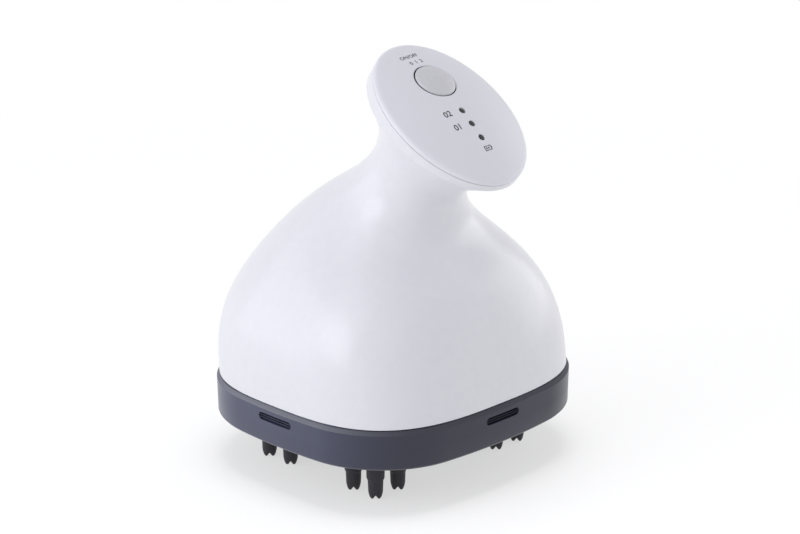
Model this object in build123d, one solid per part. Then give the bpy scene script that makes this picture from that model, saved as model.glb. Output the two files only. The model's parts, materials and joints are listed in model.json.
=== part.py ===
from build123d import *
import math
import os

os.makedirs("parts", exist_ok=True)

# ------------------------------------------------------------------ driving dimensions (mm)
# Base outline: four corner arcs joined by four shallow arcs, all tangent.
BASE_HX, BASE_HY = 46.0, 42.5
CORNER_R, CORNER_IN_X, CORNER_IN_Y = 28.6, 29.24, 29.62
# Base ring: it stands slightly proud of the housing.
RING_Z0, RING_Z1, RING_WALL, RING_EDGE = 13.8, 25.2, 2.4, 0.7
SLOT_Z, SLOT_L, SLOT_H = 21.7, 12.6, 2.0
PROUD = 0.8                      # ring face beyond the housing face

# Head: an oval plane that leans forward, and the domed panel that caps it.
HEAD_Y, HEAD_Z, HEAD_TILT = -22.4, 104.2, 34.6
PANEL_RX, PANEL_RY, DOME_RISE = 20.2, 25.6, 3.8
DOME_RX = (PANEL_RX ** 2 + DOME_RISE ** 2) / (2 * DOME_RISE)
DOME_R = (PANEL_RY ** 2 + DOME_RISE ** 2) / (2 * DOME_RISE)
PANEL_T, CAP, CAP_EDGE, SEAM = 2.0, 1.0, 0.9, 0.12
# Skirt of the panel, which drops inside the lip of the housing onto a gasket on a ledge.
SKIRT_IN, SKIRT_T, SKIRT_FIT, SEAT, GASKET_T, LEDGE_IN = 1.4, 1.4, 0.1, 3.6, 0.4, 3.0
# The lip is a slanted cut of the oval: low at the front, high at the back.
LIP_FRONT, LIP_BACK = 3.0, 5.6
LIP_MID = (LIP_FRONT + LIP_BACK) / 2
LIP_SLANT = math.degrees(math.atan((LIP_BACK - LIP_FRONT) / (2 * PANEL_RY)))

# Housing: z, centre y, tilt, half width, half depth, exponent at each station.
WALL = 2.2
STATIONS = (
    (RING_Z1, 0.0, 0.0, BASE_HX - PROUD, BASE_HY - PROUD, 3.0),
    (36.0, 0.9, 0.0, BASE_HX - 1.1, BASE_HY - 1.5, 3.0),
    (48.0, 1.7, 0.0, BASE_HX - 4.4, BASE_HY - 4.3, 2.9),
    (60.0, 1.4, 2.5, BASE_HX - 12.0, BASE_HY - 10.3, 2.6),
    (72.5, -1.7, 13.0, 22.2, 21.0, 2.3),
    (85.0, -10.3, 20.0, 14.0, 14.1, 2.1),
    (93.5, -16.5, 30.5, 15.7, 17.3, 2.0),
)

# Control group, measured up the slope of the panel from its centre.
BUTTON_UP, BUTTON_R, BUTTON_GAP, BUTTON_TRAVEL = 9.3, 5.8, 0.3, 0.7
LENS_UP = {"high": -2.5, "low": -7.1, "charge": -11.8}
LENS_R = 1.0
BOARD_T, BOARD_RX, BOARD_RY = 1.6, 12.5, 16.0

# Massage heads: their shafts stand in from the sides of the base.
HEAD_IN_X, HEAD_IN_Y = 22.0, 25.56
HEAD_PX, HEAD_PY = BASE_HX - HEAD_IN_X, BASE_HY - HEAD_IN_Y
PRONG_RING, CLAW_R, PRONG_TOP_R = 6.1, 9.4, 2.7

# Gear train: the first module spans from the sun to the heads, the next clears the axle boss.
T_SUN, T_HEAD, ADDENDUM = 25, 22, 0.9
SUN_TO_HEAD = math.hypot(HEAD_PX, HEAD_PY)
MOD = 2 * SUN_TO_HEAD / (T_SUN + T_HEAD)
T_SUN_UP, T_B_SMALL, BOSS_R, BOSS_GAP = 40, 10, 1.8, 0.2
SUN_TO_B = MOD * (T_SUN / 2 + ADDENDUM) + BOSS_GAP + BOSS_R
MOD_1 = 2 * SUN_TO_B / (T_SUN_UP + T_B_SMALL)
MOD_2, T_B_LARGE, T_A_SMALL = 0.5, 36, 10
T_A_LARGE, T_PINION = 30, 10
B_TO_A = MOD_2 * (T_B_LARGE + T_A_SMALL) / 2
A_TO_M = MOD_2 * (T_A_LARGE + T_PINION) / 2
B_TO_A_ANGLE, A_TO_M_ANGLE = 122.9, 168.5
FIT = 0.05                       # radial running clearance

# Levels, from the prong tips at z = 0 upwards.
CLAW_Z0, HUB_Z0, HUB_Z1 = 13.9, 15.2, 16.8
COVER_Z0, COVER_Z1 = 14.6, 16.6
FLOOR_Z0, FLOOR_Z1, RIM_Z1 = 19.0, 21.0, 23.0
GEAR_Z0, GEAR_Z1 = 21.5, 25.5
UP_Z0, UP_Z1 = 26.0, 28.5
B_Z0, B_Z1 = 29.2, 31.2
A_Z0, A_Z1 = 31.7, 33.3
PLATE_Z0, PLATE_Z1, GEAR_PLATE_IN = 34.2, 36.2, 11.1

# Motor, battery and charging inlet.
MOTOR_R, MOTOR_H, SHAFT_R = 12.0, 20.0, 1.0
CAN_T, MAGNET_T, AIR_GAP = 0.8, 1.8, 0.4
CELL_R, CELL_L, CRADLE_HY = 7.0, 43.0, 9.2
PORT_Z, PORT_R = 41.0, 3.4

# Fixing points: housing posts, gear plate pillars and cover screws.
POST_X, POST_Y, POST_R, POST_Z1, RIB_T = 14.0, BASE_HY - 8.5, 2.8, 46.0, 1.4
PILLAR_R = 2.8
PILLAR_X = SUN_TO_B + MOD_2 * (T_B_LARGE / 2 + 1) + PILLAR_R + 1.95
PILLAR_Y = BASE_HY - 15.5
COVER_X, COVER_Y = BASE_HX - 16.0, BASE_HY - 20.5
POSTS = [(x, y) for x in (-POST_X, POST_X) for y in (-POST_Y, POST_Y)]
PILLARS = [(-PILLAR_X, 0.0), (PILLAR_X, 0.0), (0.0, -PILLAR_Y), (0.0, PILLAR_Y)]
COVER_SCREWS = [(-COVER_X, 0.0), (COVER_X, 0.0), (0.0, -COVER_Y), (0.0, COVER_Y)]
CELL_Y = CRADLE_HY + 3.3 - PILLAR_Y

HEADS = [(sx * HEAD_PX, sy * HEAD_PY) for sy in (-1, 1) for sx in (-1, 1)]
SUN = (0.0, 0.0)
B_AT = (SUN_TO_B, 0.0)
A_AT = (
    B_AT[0] + B_TO_A * math.cos(math.radians(B_TO_A_ANGLE)),
    B_AT[1] + B_TO_A * math.sin(math.radians(B_TO_A_ANGLE)),
)
M_AT = (
    A_AT[0] + A_TO_M * math.cos(math.radians(A_TO_M_ANGLE)),
    A_AT[1] + A_TO_M * math.sin(math.radians(A_TO_M_ANGLE)),
)

# The head's rolled edge overhangs the base a little, so the assembly moves back to centre its box.
EDGE_DROP = CAP_EDGE * math.tan((math.pi / 2 - math.asin(PANEL_RY / DOME_R)) / 2)
LEAN = math.radians(HEAD_TILT)
HEAD_REACH = -HEAD_Y + (PANEL_RY - CAP_EDGE) * math.cos(LEAN) + CAP_EDGE - EDGE_DROP * math.sin(LEAN)
SHIFT_Y = (HEAD_REACH - BASE_HY) / 2


# ------------------------------------------------------------------ helpers
def tilted(y, z, tilt):
    """A plane through (0, y, z) whose normal leans forward by the tilt."""
    t = math.radians(tilt)
    return Plane(origin=(0, y, z), x_dir=(1, 0, 0), z_dir=(0, -math.sin(t), math.cos(t)))


def superellipse(hx, hy, n, plane=Plane.XY, count=24):
    """A closed smooth face |x/hx|^n + |y/hy|^n = 1 on the plane."""
    pts = []
    for i in range(count):
        a = 2 * math.pi * i / count
        c, s = math.cos(a), math.sin(a)
        r = (abs(c / hx) ** n + abs(s / hy) ** n) ** (-1 / n)
        pts.append((r * c, r * s, 0))
    edge = plane.location * Spline(*pts, periodic=True)
    return Face(Wire([edge]))


def side_arc(half, along, across):
    """Centre and radius of a side's shallow arc, tangent to the corner arcs at its ends."""
    back = along - half
    r = (CORNER_R ** 2 - back ** 2 - across ** 2) / (2 * (back + CORNER_R))
    return half - r, r


CORNER_X, CORNER_Y = BASE_HX - CORNER_IN_X, BASE_HY - CORNER_IN_Y
SIDE_X, SIDE_XR = side_arc(BASE_HX, CORNER_X, CORNER_Y)
SIDE_Y, SIDE_YR = side_arc(BASE_HY, CORNER_Y, CORNER_X)


def base_face(inset, plane=Plane.XY):
    """The base outline, offset inwards by the inset."""
    a = math.atan2(CORNER_Y, CORNER_X - SIDE_X)
    b = math.atan2(CORNER_Y - SIDE_Y, CORNER_X)
    r, rx, ry = CORNER_R - inset, SIDE_XR - inset, SIDE_YR - inset
    side_end = (SIDE_X + rx * math.cos(a), rx * math.sin(a))
    middle = (CORNER_X + r * math.cos((a + b) / 2), CORNER_Y + r * math.sin((a + b) / 2))
    front_end = (ry * math.cos(b), SIDE_Y + ry * math.sin(b))
    corner = [side_end, middle, front_end]
    hx, hy = BASE_HX - inset, BASE_HY - inset
    around = []
    for sx, sy, half_way in ((1, 1, (0, hy)), (-1, 1, (-hx, 0)), (-1, -1, (0, -hy)), (1, -1, (hx, 0))):
        arc = corner if sx == sy else corner[::-1]
        around += [(sx * x, sy * y) for x, y in arc] + [half_way]
    around.append(around[0])
    arcs = [ThreePointArc(*around[i:i + 3]) for i in range(0, len(around) - 1, 2)]
    return plane.location * make_face(Wire(arcs))


def slab(inset, z0, z1):
    """A plate of the base outline from z0 to z1."""
    return Pos(0, 0, z0) * extrude(base_face(inset), z1 - z0, (0, 0, 1))


def rod(x, y, r, z0, z1):
    return Pos(x, y, (z0 + z1) / 2) * Cylinder(r, z1 - z0)


def block(x0, x1, y0, y1, z0, z1):
    return Pos((x0 + x1) / 2, (y0 + y1) / 2, (z0 + z1) / 2) * Box(x1 - x0, y1 - y0, z1 - z0)


def oval(rx, ry, z0, z1):
    """An elliptical plate in a local frame."""
    return Pos(0, 0, z0) * extrude(Ellipse(rx, ry), z1 - z0, (0, 0, 1))


def loft_band(rx, ry, z0, z1):
    """An elliptical plate whose edges are the same splines as the ends of the lofts."""
    return Pos(0, 0, z0) * extrude(superellipse(rx, ry, 2.0), z1 - z0, (0, 0, 1))


def tooth_half(r, teeth, module, slack):
    """Half angle of an involute tooth at radius r, thinned by the backlash."""
    rp = module * teeth / 2
    rb = rp * math.cos(math.radians(20))
    inv = math.tan(math.radians(20)) - math.radians(20)
    a = math.acos(min(1.0, rb / max(r, rb)))
    return math.pi / (2 * teeth) - slack / (2 * rp) + inv - (math.tan(a) - a)


def gear(at, teeth, module, z0, z1, phase, bore=0.0):
    """A spur gear whose straight flanks stay inside the true involute."""
    rp = module * teeth / 2
    rb = rp * math.cos(math.radians(20))
    ra = rp + ADDENDUM * module
    rf = rp - 1.2 * module
    slack = 0.12 * module
    root = tooth_half(max(rf, rb), teeth, module, slack) * (1.0 if rf > rb else 0.82)
    tip = tooth_half(ra, teeth, module, slack)
    pts = []
    for k in range(teeth):
        c = phase + 2 * math.pi * k / teeth
        for r, a in ((rf, c - root), (ra, c - tip), (ra, c + tip), (rf, c + root)):
            pts.append((at[0] + r * math.cos(a), at[1] + r * math.sin(a)))
    face = make_face(Polyline(*pts, close=True))
    body = Pos(0, 0, z0) * extrude(face, z1 - z0, (0, 0, 1))
    return body - rod(*at, bore, z0, z1) if bore else body


def mesh_phase(at1, teeth1, phase1, at2, teeth2):
    """The phase that puts a gap of gear 2 on a tooth of gear 1."""
    line = math.atan2(at2[1] - at1[1], at2[0] - at1[0])
    return line + math.pi + math.pi / teeth2 - teeth1 / teeth2 * (phase1 - line)


def screw(x, y, z_head, z_tip, r_head, r_shank, head_h):
    """A flat-head screw; its head lies beyond z_head, away from the tip."""
    away = -1 if z_tip > z_head else 1
    z_out = z_head + away * head_h
    head = rod(x, y, r_head, min(z_head, z_out), max(z_head, z_out))
    return head + rod(x, y, r_shank, min(z_head, z_tip), max(z_head, z_tip))


def save(shape, name):
    """Move a finished piece into the shared frame and write it."""
    moved = Pos(0, SHIFT_Y, 0) * shape
    export_step(moved, "parts/" + name + ".step")
    print(name, round(moved.volume, 1))
    return moved


# ------------------------------------------------------------------ frames of the head
HEAD = tilted(HEAD_Y, HEAD_Z, HEAD_TILT).location
UP = (math.cos(math.radians(HEAD_TILT)), math.sin(math.radians(HEAD_TILT)))
OUT = (-UP[1], UP[0])


def dome_height(up):
    return math.sqrt(DOME_R ** 2 - up ** 2) - (DOME_R - DOME_RISE)


def head_point(up, out):
    """World (y, z) of a point up the slope and out along the rim normal."""
    return HEAD_Y + up * UP[0] + out * OUT[0], HEAD_Z + up * UP[1] + out * OUT[1]


BUTTON_TILT = HEAD_TILT - math.degrees(math.asin(BUTTON_UP / DOME_R))
BUTTON = tilted(*head_point(BUTTON_UP, dome_height(BUTTON_UP)), BUTTON_TILT).location


def in_button_frame(up, out):
    """Slope position and height of a head point, in the button's frame."""
    y, z = head_point(up, out)
    y0, z0 = head_point(BUTTON_UP, dome_height(BUTTON_UP))
    t = math.radians(BUTTON_TILT)
    return ((y - y0) * math.cos(t) + (z - z0) * math.sin(t),
            -(y - y0) * math.sin(t) + (z - z0) * math.cos(t))


# ------------------------------------------------------------------ housing
def head_oval(inset, out, slant=0.0):
    """The head's oval less the inset, at a distance out, or its slanted cut."""
    deep = (PANEL_RY - inset) / math.cos(math.radians(slant))
    return superellipse(PANEL_RX - inset, deep, 2.0, tilted(*head_point(0, out), HEAD_TILT - slant))


def housing_loft(inset, stretch, top):
    """Loft through the stations, each shrunk by the inset, up to the top face."""
    faces = []
    for i, (z, y, tilt, hx, hy, n) in enumerate(STATIONS):
        low = stretch if i == 0 else 0
        faces.append(superellipse(hx - inset, hy - inset, n, tilted(y, z - low, tilt)))
    return loft([*faces, top])


lip_foot = head_oval(0, -LIP_MID, LIP_SLANT)
outer = housing_loft(0, 0, lip_foot)
lip = loft([lip_foot, head_oval(0, -CAP - SEAM)], ruled=True)
inner = housing_loft(WALL, 0.5, head_oval(LEDGE_IN, -SEAT - 1.2))
throat = HEAD * loft_band(PANEL_RX - LEDGE_IN, PANEL_RY - LEDGE_IN, -SEAT - 1.2, -SEAT + 0.5)
SKIRT_RX, SKIRT_RY = PANEL_RX - SKIRT_IN, PANEL_RY - SKIRT_IN
rebate = HEAD * oval(SKIRT_RX + SKIRT_FIT, SKIRT_RY + SKIRT_FIT, -SEAT, 1)

shell = outer + lip - (inner + throat) - rebate

# Spigot that drops inside the ring, and the posts for the screws, each ribbed to the wall.
SPIGOT_Z = RIM_Z1 + 0.4
SPIGOT_IN = RING_WALL + 0.1
spigot = slab(SPIGOT_IN, SPIGOT_Z, RING_Z1 + 0.6)
spigot -= slab(SPIGOT_IN + 1.2, SPIGOT_Z, RING_Z1 + 0.6)
shell += spigot
within = outer + slab(SPIGOT_IN, FLOOR_Z1, RING_Z1 + 0.5)
for x, y in POSTS:
    near, far = sorted((y, math.copysign(BASE_HY, y)))
    rib = block(x - RIB_T / 2, x + RIB_T / 2, near, far, RING_Z1 + 1, POST_Z1)
    shell += rod(x, y, POST_R, FLOOR_Z1, POST_Z1) & within
    shell += rib & outer
for x, y in POSTS:
    shell -= rod(x, y, 1.2, FLOOR_Z1, 31)

# Charging port: a round opening with a spot face, on the back.
back = block(-0.5, 0.5, BASE_HY / 2, BASE_HY + 10, PORT_Z - 0.5, PORT_Z + 0.5)
port_y = (outer & back).bounding_box().max.Y
SPOT_Y = port_y - 0.9
shell -= Pos(0, SPOT_Y - 5, PORT_Z) * Rot(90, 0, 0) * Cylinder(PORT_R, 12)
shell -= Pos(0, SPOT_Y + 2, PORT_Z) * Rot(90, 0, 0) * Cylinder(5.4, 4)
save(shell, "housing_shell")

# ------------------------------------------------------------------ control panel and button
def dome(rx, ry, low, thin=0.0):
    """An oval plug from 'low' up to the barrel-shaped dome, thinned from above."""
    r, top = DOME_RX - thin, DOME_RISE - thin
    wide, deep = PANEL_RX + 10, top - 35
    edge = top - r + math.sqrt(r ** 2 - wide ** 2)
    side = Line((wide, 0, edge), (wide, 0, deep)) + Line((wide, 0, deep), (-wide, 0, deep))
    side += Line((-wide, 0, deep), (-wide, 0, edge))
    arch = ThreePointArc((-wide, 0, edge), (0, 0, top), (wide, 0, edge))
    barrel = revolve(make_face(side + arch), Axis((0, 0, DOME_RISE - DOME_R), (1, 0, 0)))
    return barrel & oval(rx, ry, low, DOME_RISE + 5)


PANEL_LOW = -SEAT + GASKET_T
cap = dome(PANEL_RX, PANEL_RY, -CAP)
cap = fillet([edge for edge in cap.edges() if edge.center().Z > -CAP / 2], CAP_EDGE)
panel = cap + oval(SKIRT_RX, SKIRT_RY, PANEL_LOW, -CAP / 2)
panel -= dome(SKIRT_RX - SKIRT_T, SKIRT_RY - SKIRT_T, PANEL_LOW, PANEL_T)
panel = HEAD * panel

board_top = -9.4
bosses = [(-8.8, -5.0), (8.8, -5.0), (-7.0, -19.5), (7.0, -19.5)]
under_dome = HEAD * dome(PANEL_RX - 1.5, PANEL_RY - 1.5, -12, 0.5)
for x, y in bosses:
    boss = BUTTON * rod(x, y, 1.9, board_top, 3)
    panel += boss & under_dome
for x, y in bosses:
    panel -= BUTTON * rod(x, y, 0.9, board_top, board_top + 4.2)
panel -= BUTTON * rod(0, 0, BUTTON_R + BUTTON_GAP, -4, 4)
panel -= BUTTON * rod(0, 0, BUTTON_R + 1.9, -8, -2.05)
for up in LENS_UP.values():
    py, pz = in_button_frame(up, dome_height(up))
    panel -= BUTTON * rod(0, py, LENS_R + FIT, -9, 4)
    panel -= BUTTON * rod(0, py, 2.0, -9, pz - 2.3)
save(panel, "control_panel")

gasket = oval(SKIRT_RX - SKIRT_FIT, SKIRT_RY - SKIRT_FIT, -SEAT, PANEL_LOW)
gasket -= oval(SKIRT_RX - SKIRT_T, SKIRT_RY - SKIRT_T, -SEAT, PANEL_LOW)
save(HEAD * gasket, "panel_gasket")

crown = Pos(0, 0, 0.9 - 26) * Sphere(26)
COLLAR_R, STEM_Z, PAD_Z = BUTTON_R + 1.2, -4.2, -5.0
button = rod(0, 0, BUTTON_R, -2.3, 2) & (crown + rod(0, 0, 10, -3, 0))
button += rod(0, 0, COLLAR_R, -3.2, -2.3)
button += rod(0, 0, 2.0, STEM_Z, -3.2)
save(BUTTON * button, "power_button")
save(BUTTON * rod(0, 0, 1.9, PAD_Z, STEM_Z), "button_pad")

for name, up in LENS_UP.items():
    py, pz = in_button_frame(up, dome_height(up))
    lens = rod(0, py, LENS_R, pz - 2.35, pz + 0.08) + rod(0, py, 1.9, pz - 3.2, pz - 2.35)
    lens += rod(0, py, 0.8, board_top + 1.3, pz - 3.2)
    save(BUTTON * lens, "lens_" + name)

mid_y = in_button_frame(0, 0)[0] - 1.0
board = Pos(0, mid_y, board_top - BOARD_T) * extrude(Ellipse(BOARD_RX, BOARD_RY), BOARD_T, (0, 0, 1))
for x, y in bosses:
    board -= rod(x, y, 1.1, board_top - BOARD_T, board_top)
save(BUTTON * board, "control_board")
switch_top = PAD_Z - BUTTON_TRAVEL - 0.1
switch = block(-3, 3, -3, 3, board_top, switch_top - 0.5)
switch += rod(0, 0, 1.5, switch_top - 0.5, switch_top)
save(BUTTON * switch, "tact_switch")
leds = []
for up in LENS_UP.values():
    py = in_button_frame(up, dome_height(up))[0]
    leds.append(block(-1.0, 1.0, py - 0.7, py + 0.7, board_top, board_top + 1.2))
save(BUTTON * Compound(leds), "indicator_leds")
low = board_top - BOARD_T
board_screws = [screw(x, y, low, board_top + 3.6, 1.7, 0.85, 1.0) for x, y in bosses]
save(BUTTON * Compound(board_screws), "board_screws")


# ------------------------------------------------------------------ base ring, chassis, bottom cover
def ring_band(z0, z1, in0, in1):
    """A ruled band of the ring's outside, inset by in0 at z0 and in1 at z1."""
    return loft([base_face(in0, tilted(0, z0, 0)), base_face(in1, tilted(0, z1, 0))], ruled=True)


DRAFT = 0.25
ring = ring_band(RING_Z0, RING_Z0 + RING_EDGE, DRAFT + 0.6, DRAFT)
ring += ring_band(RING_Z0 + RING_EDGE, RING_Z1 - RING_EDGE, DRAFT, 0)
ring += ring_band(RING_Z1 - RING_EDGE, RING_Z1, 0, 0.5)
ring -= slab(RING_WALL, RING_Z0, RING_Z1)
flat = SLOT_L - SLOT_H
through = BASE_HX + 10
slot = block(-through, through, -flat / 2, flat / 2, SLOT_Z - SLOT_H / 2, SLOT_Z + SLOT_H / 2)
for y in (-flat / 2, flat / 2):
    slot += Pos(0, y, SLOT_Z) * Rot(0, 90, 0) * Cylinder(SLOT_H / 2, 2 * through)
ring -= slot
ring -= Rot(0, 0, 90) * slot
save(ring, "base_ring")

CHASSIS_IN = RING_WALL + 0.15
chassis = slab(CHASSIS_IN, FLOOR_Z0, RIM_Z1) - slab(CHASSIS_IN + 1.5, FLOOR_Z1, RIM_Z1)
for side, reach in ((0, BASE_HX), (90, BASE_HY), (180, BASE_HX), (270, BASE_HY)):
    tongue = block(reach - 4.0, reach - 1.4, -5.6, 5.6, SLOT_Z - 0.75, SLOT_Z + 0.1)
    tongue += block(reach - 4.0, reach - 2.0, -5.6, 5.6, SLOT_Z + 0.1, SLOT_Z + 0.75)
    tongue += block(reach - 2.5, reach - 0.9, -1.2, 1.2, SLOT_Z - 0.75, SLOT_Z + 0.5)
    chassis += Rot(0, 0, side) * tongue
for x, y in HEADS:
    chassis += rod(x, y, 7.5, 17.0, FLOOR_Z0) + rod(x, y, 6.0, FLOOR_Z1, 21.3)
for x, y in COVER_SCREWS:
    chassis += rod(x, y, 2.6, COVER_Z1, FLOOR_Z0)
for x, y in PILLARS:
    chassis += rod(x, y, PILLAR_R, FLOOR_Z1, PLATE_Z0)
chassis += rod(*SUN, 3.0, FLOOR_Z1, 21.3) + rod(*B_AT, BOSS_R, FLOOR_Z1, 25.8)
for x, y in HEADS:
    chassis -= rod(x, y, 5.6, 17.0, 18.0) + rod(x, y, 4.6, 18.0, 21.3)
for x, y in COVER_SCREWS:
    chassis -= rod(x, y, 1.2, COVER_Z1, 20.3)
for x, y in PILLARS:
    chassis -= rod(x, y, 1.05, 27.5, PLATE_Z0)
for x, y in POSTS:
    chassis -= rod(x, y, 1.5, FLOOR_Z0, FLOOR_Z1)
chassis -= rod(*SUN, 1.5, FLOOR_Z0 + 0.6, 21.3) + rod(*B_AT, 1.0, FLOOR_Z0 + 0.6, 25.8)
save(chassis, "chassis")

seal = slab(CHASSIS_IN, RIM_Z1, SPIGOT_Z) - slab(CHASSIS_IN + 1.2, RIM_Z1, SPIGOT_Z)
save(seal, "housing_gasket")
save(Compound([screw(x, y, FLOOR_Z0, 30, 2.3, 1.15, 1.8) for x, y in POSTS]), "housing_screws")

cover = slab(CHASSIS_IN, COVER_Z0, COVER_Z1)
for x, y in HEADS:
    cover += rod(x, y, 11.2, COVER_Z1, COVER_Z1 + 1.2) & slab(CHASSIS_IN, COVER_Z1, COVER_Z1 + 1.2)
for x, y in HEADS:
    cover -= rod(x, y, CLAW_R + 0.5, COVER_Z0, COVER_Z1 + 1.2)
for x, y in COVER_SCREWS:
    cover -= rod(x, y, 1.3, COVER_Z0, COVER_Z1) + rod(x, y, 2.4, COVER_Z0, COVER_Z0 + 1.1)
save(cover, "bottom_cover")
cover_screws = [screw(x, y, COVER_Z0 + 1.1, 20.0, 2.2, 1.15, 1.1) for x, y in COVER_SCREWS]
save(Compound(cover_screws), "cover_screws")

bushes = [rod(x, y, 4.6, 18.0, 21.3) - rod(x, y, 3.0 + FIT, 18.0, 21.3) for x, y in HEADS]
save(Compound(bushes), "head_bushes")
seals = [rod(x, y, 5.6, 17.0, 18.0) - rod(x, y, 3.0 + FIT, 17.0, 18.0) for x, y in HEADS]
save(Compound(seals), "shaft_seals")

# ------------------------------------------------------------------ massage heads
TIP_Z, STEP_Z, SHOULDER_Z = 1.2, 5.2, 6.0


def prong(x, y, turn):
    """A tapered finger with a shoulder and a crown of four nubs."""
    low_cone = Pos(0, 0, STEP_Z / 2) * Cone(1.7, 2.15, STEP_Z)
    shoulder = Pos(0, 0, (STEP_Z + SHOULDER_Z) / 2) * Cone(2.15, 2.5, SHOULDER_Z - STEP_Z)
    top = Pos(0, 0, (SHOULDER_Z + CLAW_Z0) / 2) * Cone(2.5, PRONG_TOP_R, CLAW_Z0 - SHOULDER_Z)
    body = low_cone + shoulder + top
    vee = Pos(0, 0, 0) * make_face(Polyline((-0.75, 0), (0.75, 0), (0, TIP_Z), close=True))
    cut = extrude(Rot(90, 0, 0) * vee, 3, (0, 1, 0)) + extrude(Rot(90, 0, 0) * vee, 3, (0, -1, 0))
    body -= cut
    body -= Rot(0, 0, 90) * cut
    return Pos(x, y, 0) * Rot(0, 0, turn) * body


def claw(at):
    body = rod(0, 0, CLAW_R, CLAW_Z0, COVER_Z1) - rod(0, 0, 8.6, HUB_Z0, COVER_Z1)
    for i in range(4):
        a = math.radians(45 + 90 * i)
        body += prong(PRONG_RING * math.cos(a), PRONG_RING * math.sin(a), 45 + 90 * i)
    return Pos(*at, 0) * (body - rod(0, 0, 2.6, CLAW_Z0, HUB_Z0))


sun_phase = 0.0
for i, at in enumerate(HEADS, 1):
    save(claw(at), "claw_%d" % i)
    hub = rod(*at, 8.6, HUB_Z0, HUB_Z1) - block(at[0] - 2, at[0] + 2, at[1] - 2, at[1] + 2, HUB_Z0, HUB_Z1)
    save(hub, "hub_%d" % i)
    phase = mesh_phase(SUN, T_SUN, sun_phase, at, T_HEAD)
    wheel = gear(at, T_HEAD, MOD, GEAR_Z0, GEAR_Z1, phase)
    wheel += rod(*at, 3.0, HUB_Z1, GEAR_Z0) + rod(*at, 2.0, GEAR_Z1, 30.0)
    wheel += block(at[0] - 2, at[0] + 2, at[1] - 2, at[1] + 2, HUB_Z0, HUB_Z1)
    wheel -= rod(*at, 1.1, HUB_Z0, 20.2)
    save(wheel, "head_gear_%d" % i)
    save(screw(*at, HUB_Z0, 20.0, 2.4, 1.1, 1.1), "head_screw_%d" % i)

# ------------------------------------------------------------------ gear train
up_phase = 0.1
b_small = mesh_phase(SUN, T_SUN_UP, up_phase, B_AT, T_B_SMALL)
b_large = 0.05
a_small = mesh_phase(B_AT, T_B_LARGE, b_large, A_AT, T_A_SMALL)
a_large = 0.0
pin_phase = mesh_phase(A_AT, T_A_LARGE, a_large, M_AT, T_PINION)

sun = gear(SUN, T_SUN, MOD, GEAR_Z0, GEAR_Z1, sun_phase) + rod(*SUN, 6.0, GEAR_Z1, UP_Z0)
sun += gear(SUN, T_SUN_UP, MOD_1, UP_Z0, UP_Z1, up_phase)
sun -= rod(*SUN, 1.5 + FIT, GEAR_Z0, UP_Z1)
save(sun, "sun_gear")
wheel_b = gear(B_AT, T_B_SMALL, MOD_1, UP_Z0 - 0.1, B_Z0, b_small)
wheel_b += gear(B_AT, T_B_LARGE, MOD_2, B_Z0, B_Z1, b_large)
wheel_b -= rod(*B_AT, 1.0 + FIT, UP_Z0 - 0.1, B_Z1)
save(wheel_b, "idler_b")
wheel_a = gear(A_AT, T_A_SMALL, MOD_2, B_Z0 - 0.2, A_Z0, a_small)
wheel_a += gear(A_AT, T_A_LARGE, MOD_2, A_Z0, A_Z1, a_large)
wheel_a -= rod(*A_AT, 0.75 + FIT, B_Z0 - 0.2, A_Z1)
save(wheel_a, "idler_a")
save(rod(*SUN, 1.5, FLOOR_Z0 + 0.6, PLATE_Z1), "sun_axle")
save(rod(*B_AT, 1.0, FLOOR_Z0 + 0.6, PLATE_Z1), "axle_b")
save(rod(*A_AT, 0.75, B_Z0 - 0.3, PLATE_Z1), "axle_a")

plate = slab(GEAR_PLATE_IN, PLATE_Z0, PLATE_Z1)
for x, y in PILLARS:
    plate += rod(x, y, PILLAR_R + 0.6, PLATE_Z0, PLATE_Z1)
for x, y in HEADS:
    plate += rod(x, y, 4.0, GEAR_Z1 + 0.4, PLATE_Z0)
    plate -= rod(x, y, 2.0 + FIT, GEAR_Z1 + 0.4, 30.3)
for x, y in PILLARS:
    plate -= rod(x, y, 1.2, PLATE_Z0, PLATE_Z1)
plate -= rod(*SUN, 1.5, PLATE_Z0, PLATE_Z1) + rod(*B_AT, 1.0, PLATE_Z0, PLATE_Z1)
plate -= rod(*A_AT, 0.75, PLATE_Z0, PLATE_Z1) + rod(*M_AT, 3.1, PLATE_Z0, PLATE_Z1)
line = math.radians(A_TO_M_ANGLE + 90)
ear = MOTOR_R - 4
ears = [(M_AT[0] + s * ear * math.cos(line), M_AT[1] + s * ear * math.sin(line)) for s in (-1, 1)]
for x, y in ears:
    plate -= rod(x, y, 1.1, PLATE_Z0, PLATE_Z1)
save(plate, "gear_plate")
plate_screws = [screw(x, y, PLATE_Z1, 28.5, 2.1, 1.0, 1.5) for x, y in PILLARS]
save(Compound(plate_screws), "plate_screws")

# ------------------------------------------------------------------ motor
m_top = PLATE_Z1 + MOTOR_H
can = rod(*M_AT, MOTOR_R, PLATE_Z1, m_top) - rod(*M_AT, MOTOR_R - CAN_T, PLATE_Z1 + 1.5, m_top)
can += rod(*M_AT, 3.0, PLATE_Z0 + 0.4, PLATE_Z1)
can -= rod(*M_AT, SHAFT_R + FIT, PLATE_Z0, m_top)
for x, y in ears:
    can -= rod(x, y, 0.9, PLATE_Z1, PLATE_Z1 + 1.5)
save(can, "motor_can")
magnet_z0, magnet_z1 = PLATE_Z1 + 3.3, m_top - 3.2
can_in = MOTOR_R - CAN_T
magnet_in = can_in - MAGNET_T
arcs = rod(*M_AT, can_in, magnet_z0, magnet_z1) - rod(*M_AT, magnet_in, magnet_z0, magnet_z1)
arcs -= Pos(*M_AT, 0) * block(-MOTOR_R, MOTOR_R, -3, 3, magnet_z0, magnet_z1)
save(arcs, "motor_magnets")
cap = rod(*M_AT, MOTOR_R, m_top, m_top + 2.2) + rod(*M_AT, 3.2, m_top + 2.2, m_top + 3.2)
cap -= rod(*M_AT, SHAFT_R + FIT, m_top, m_top + 2.6)
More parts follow.
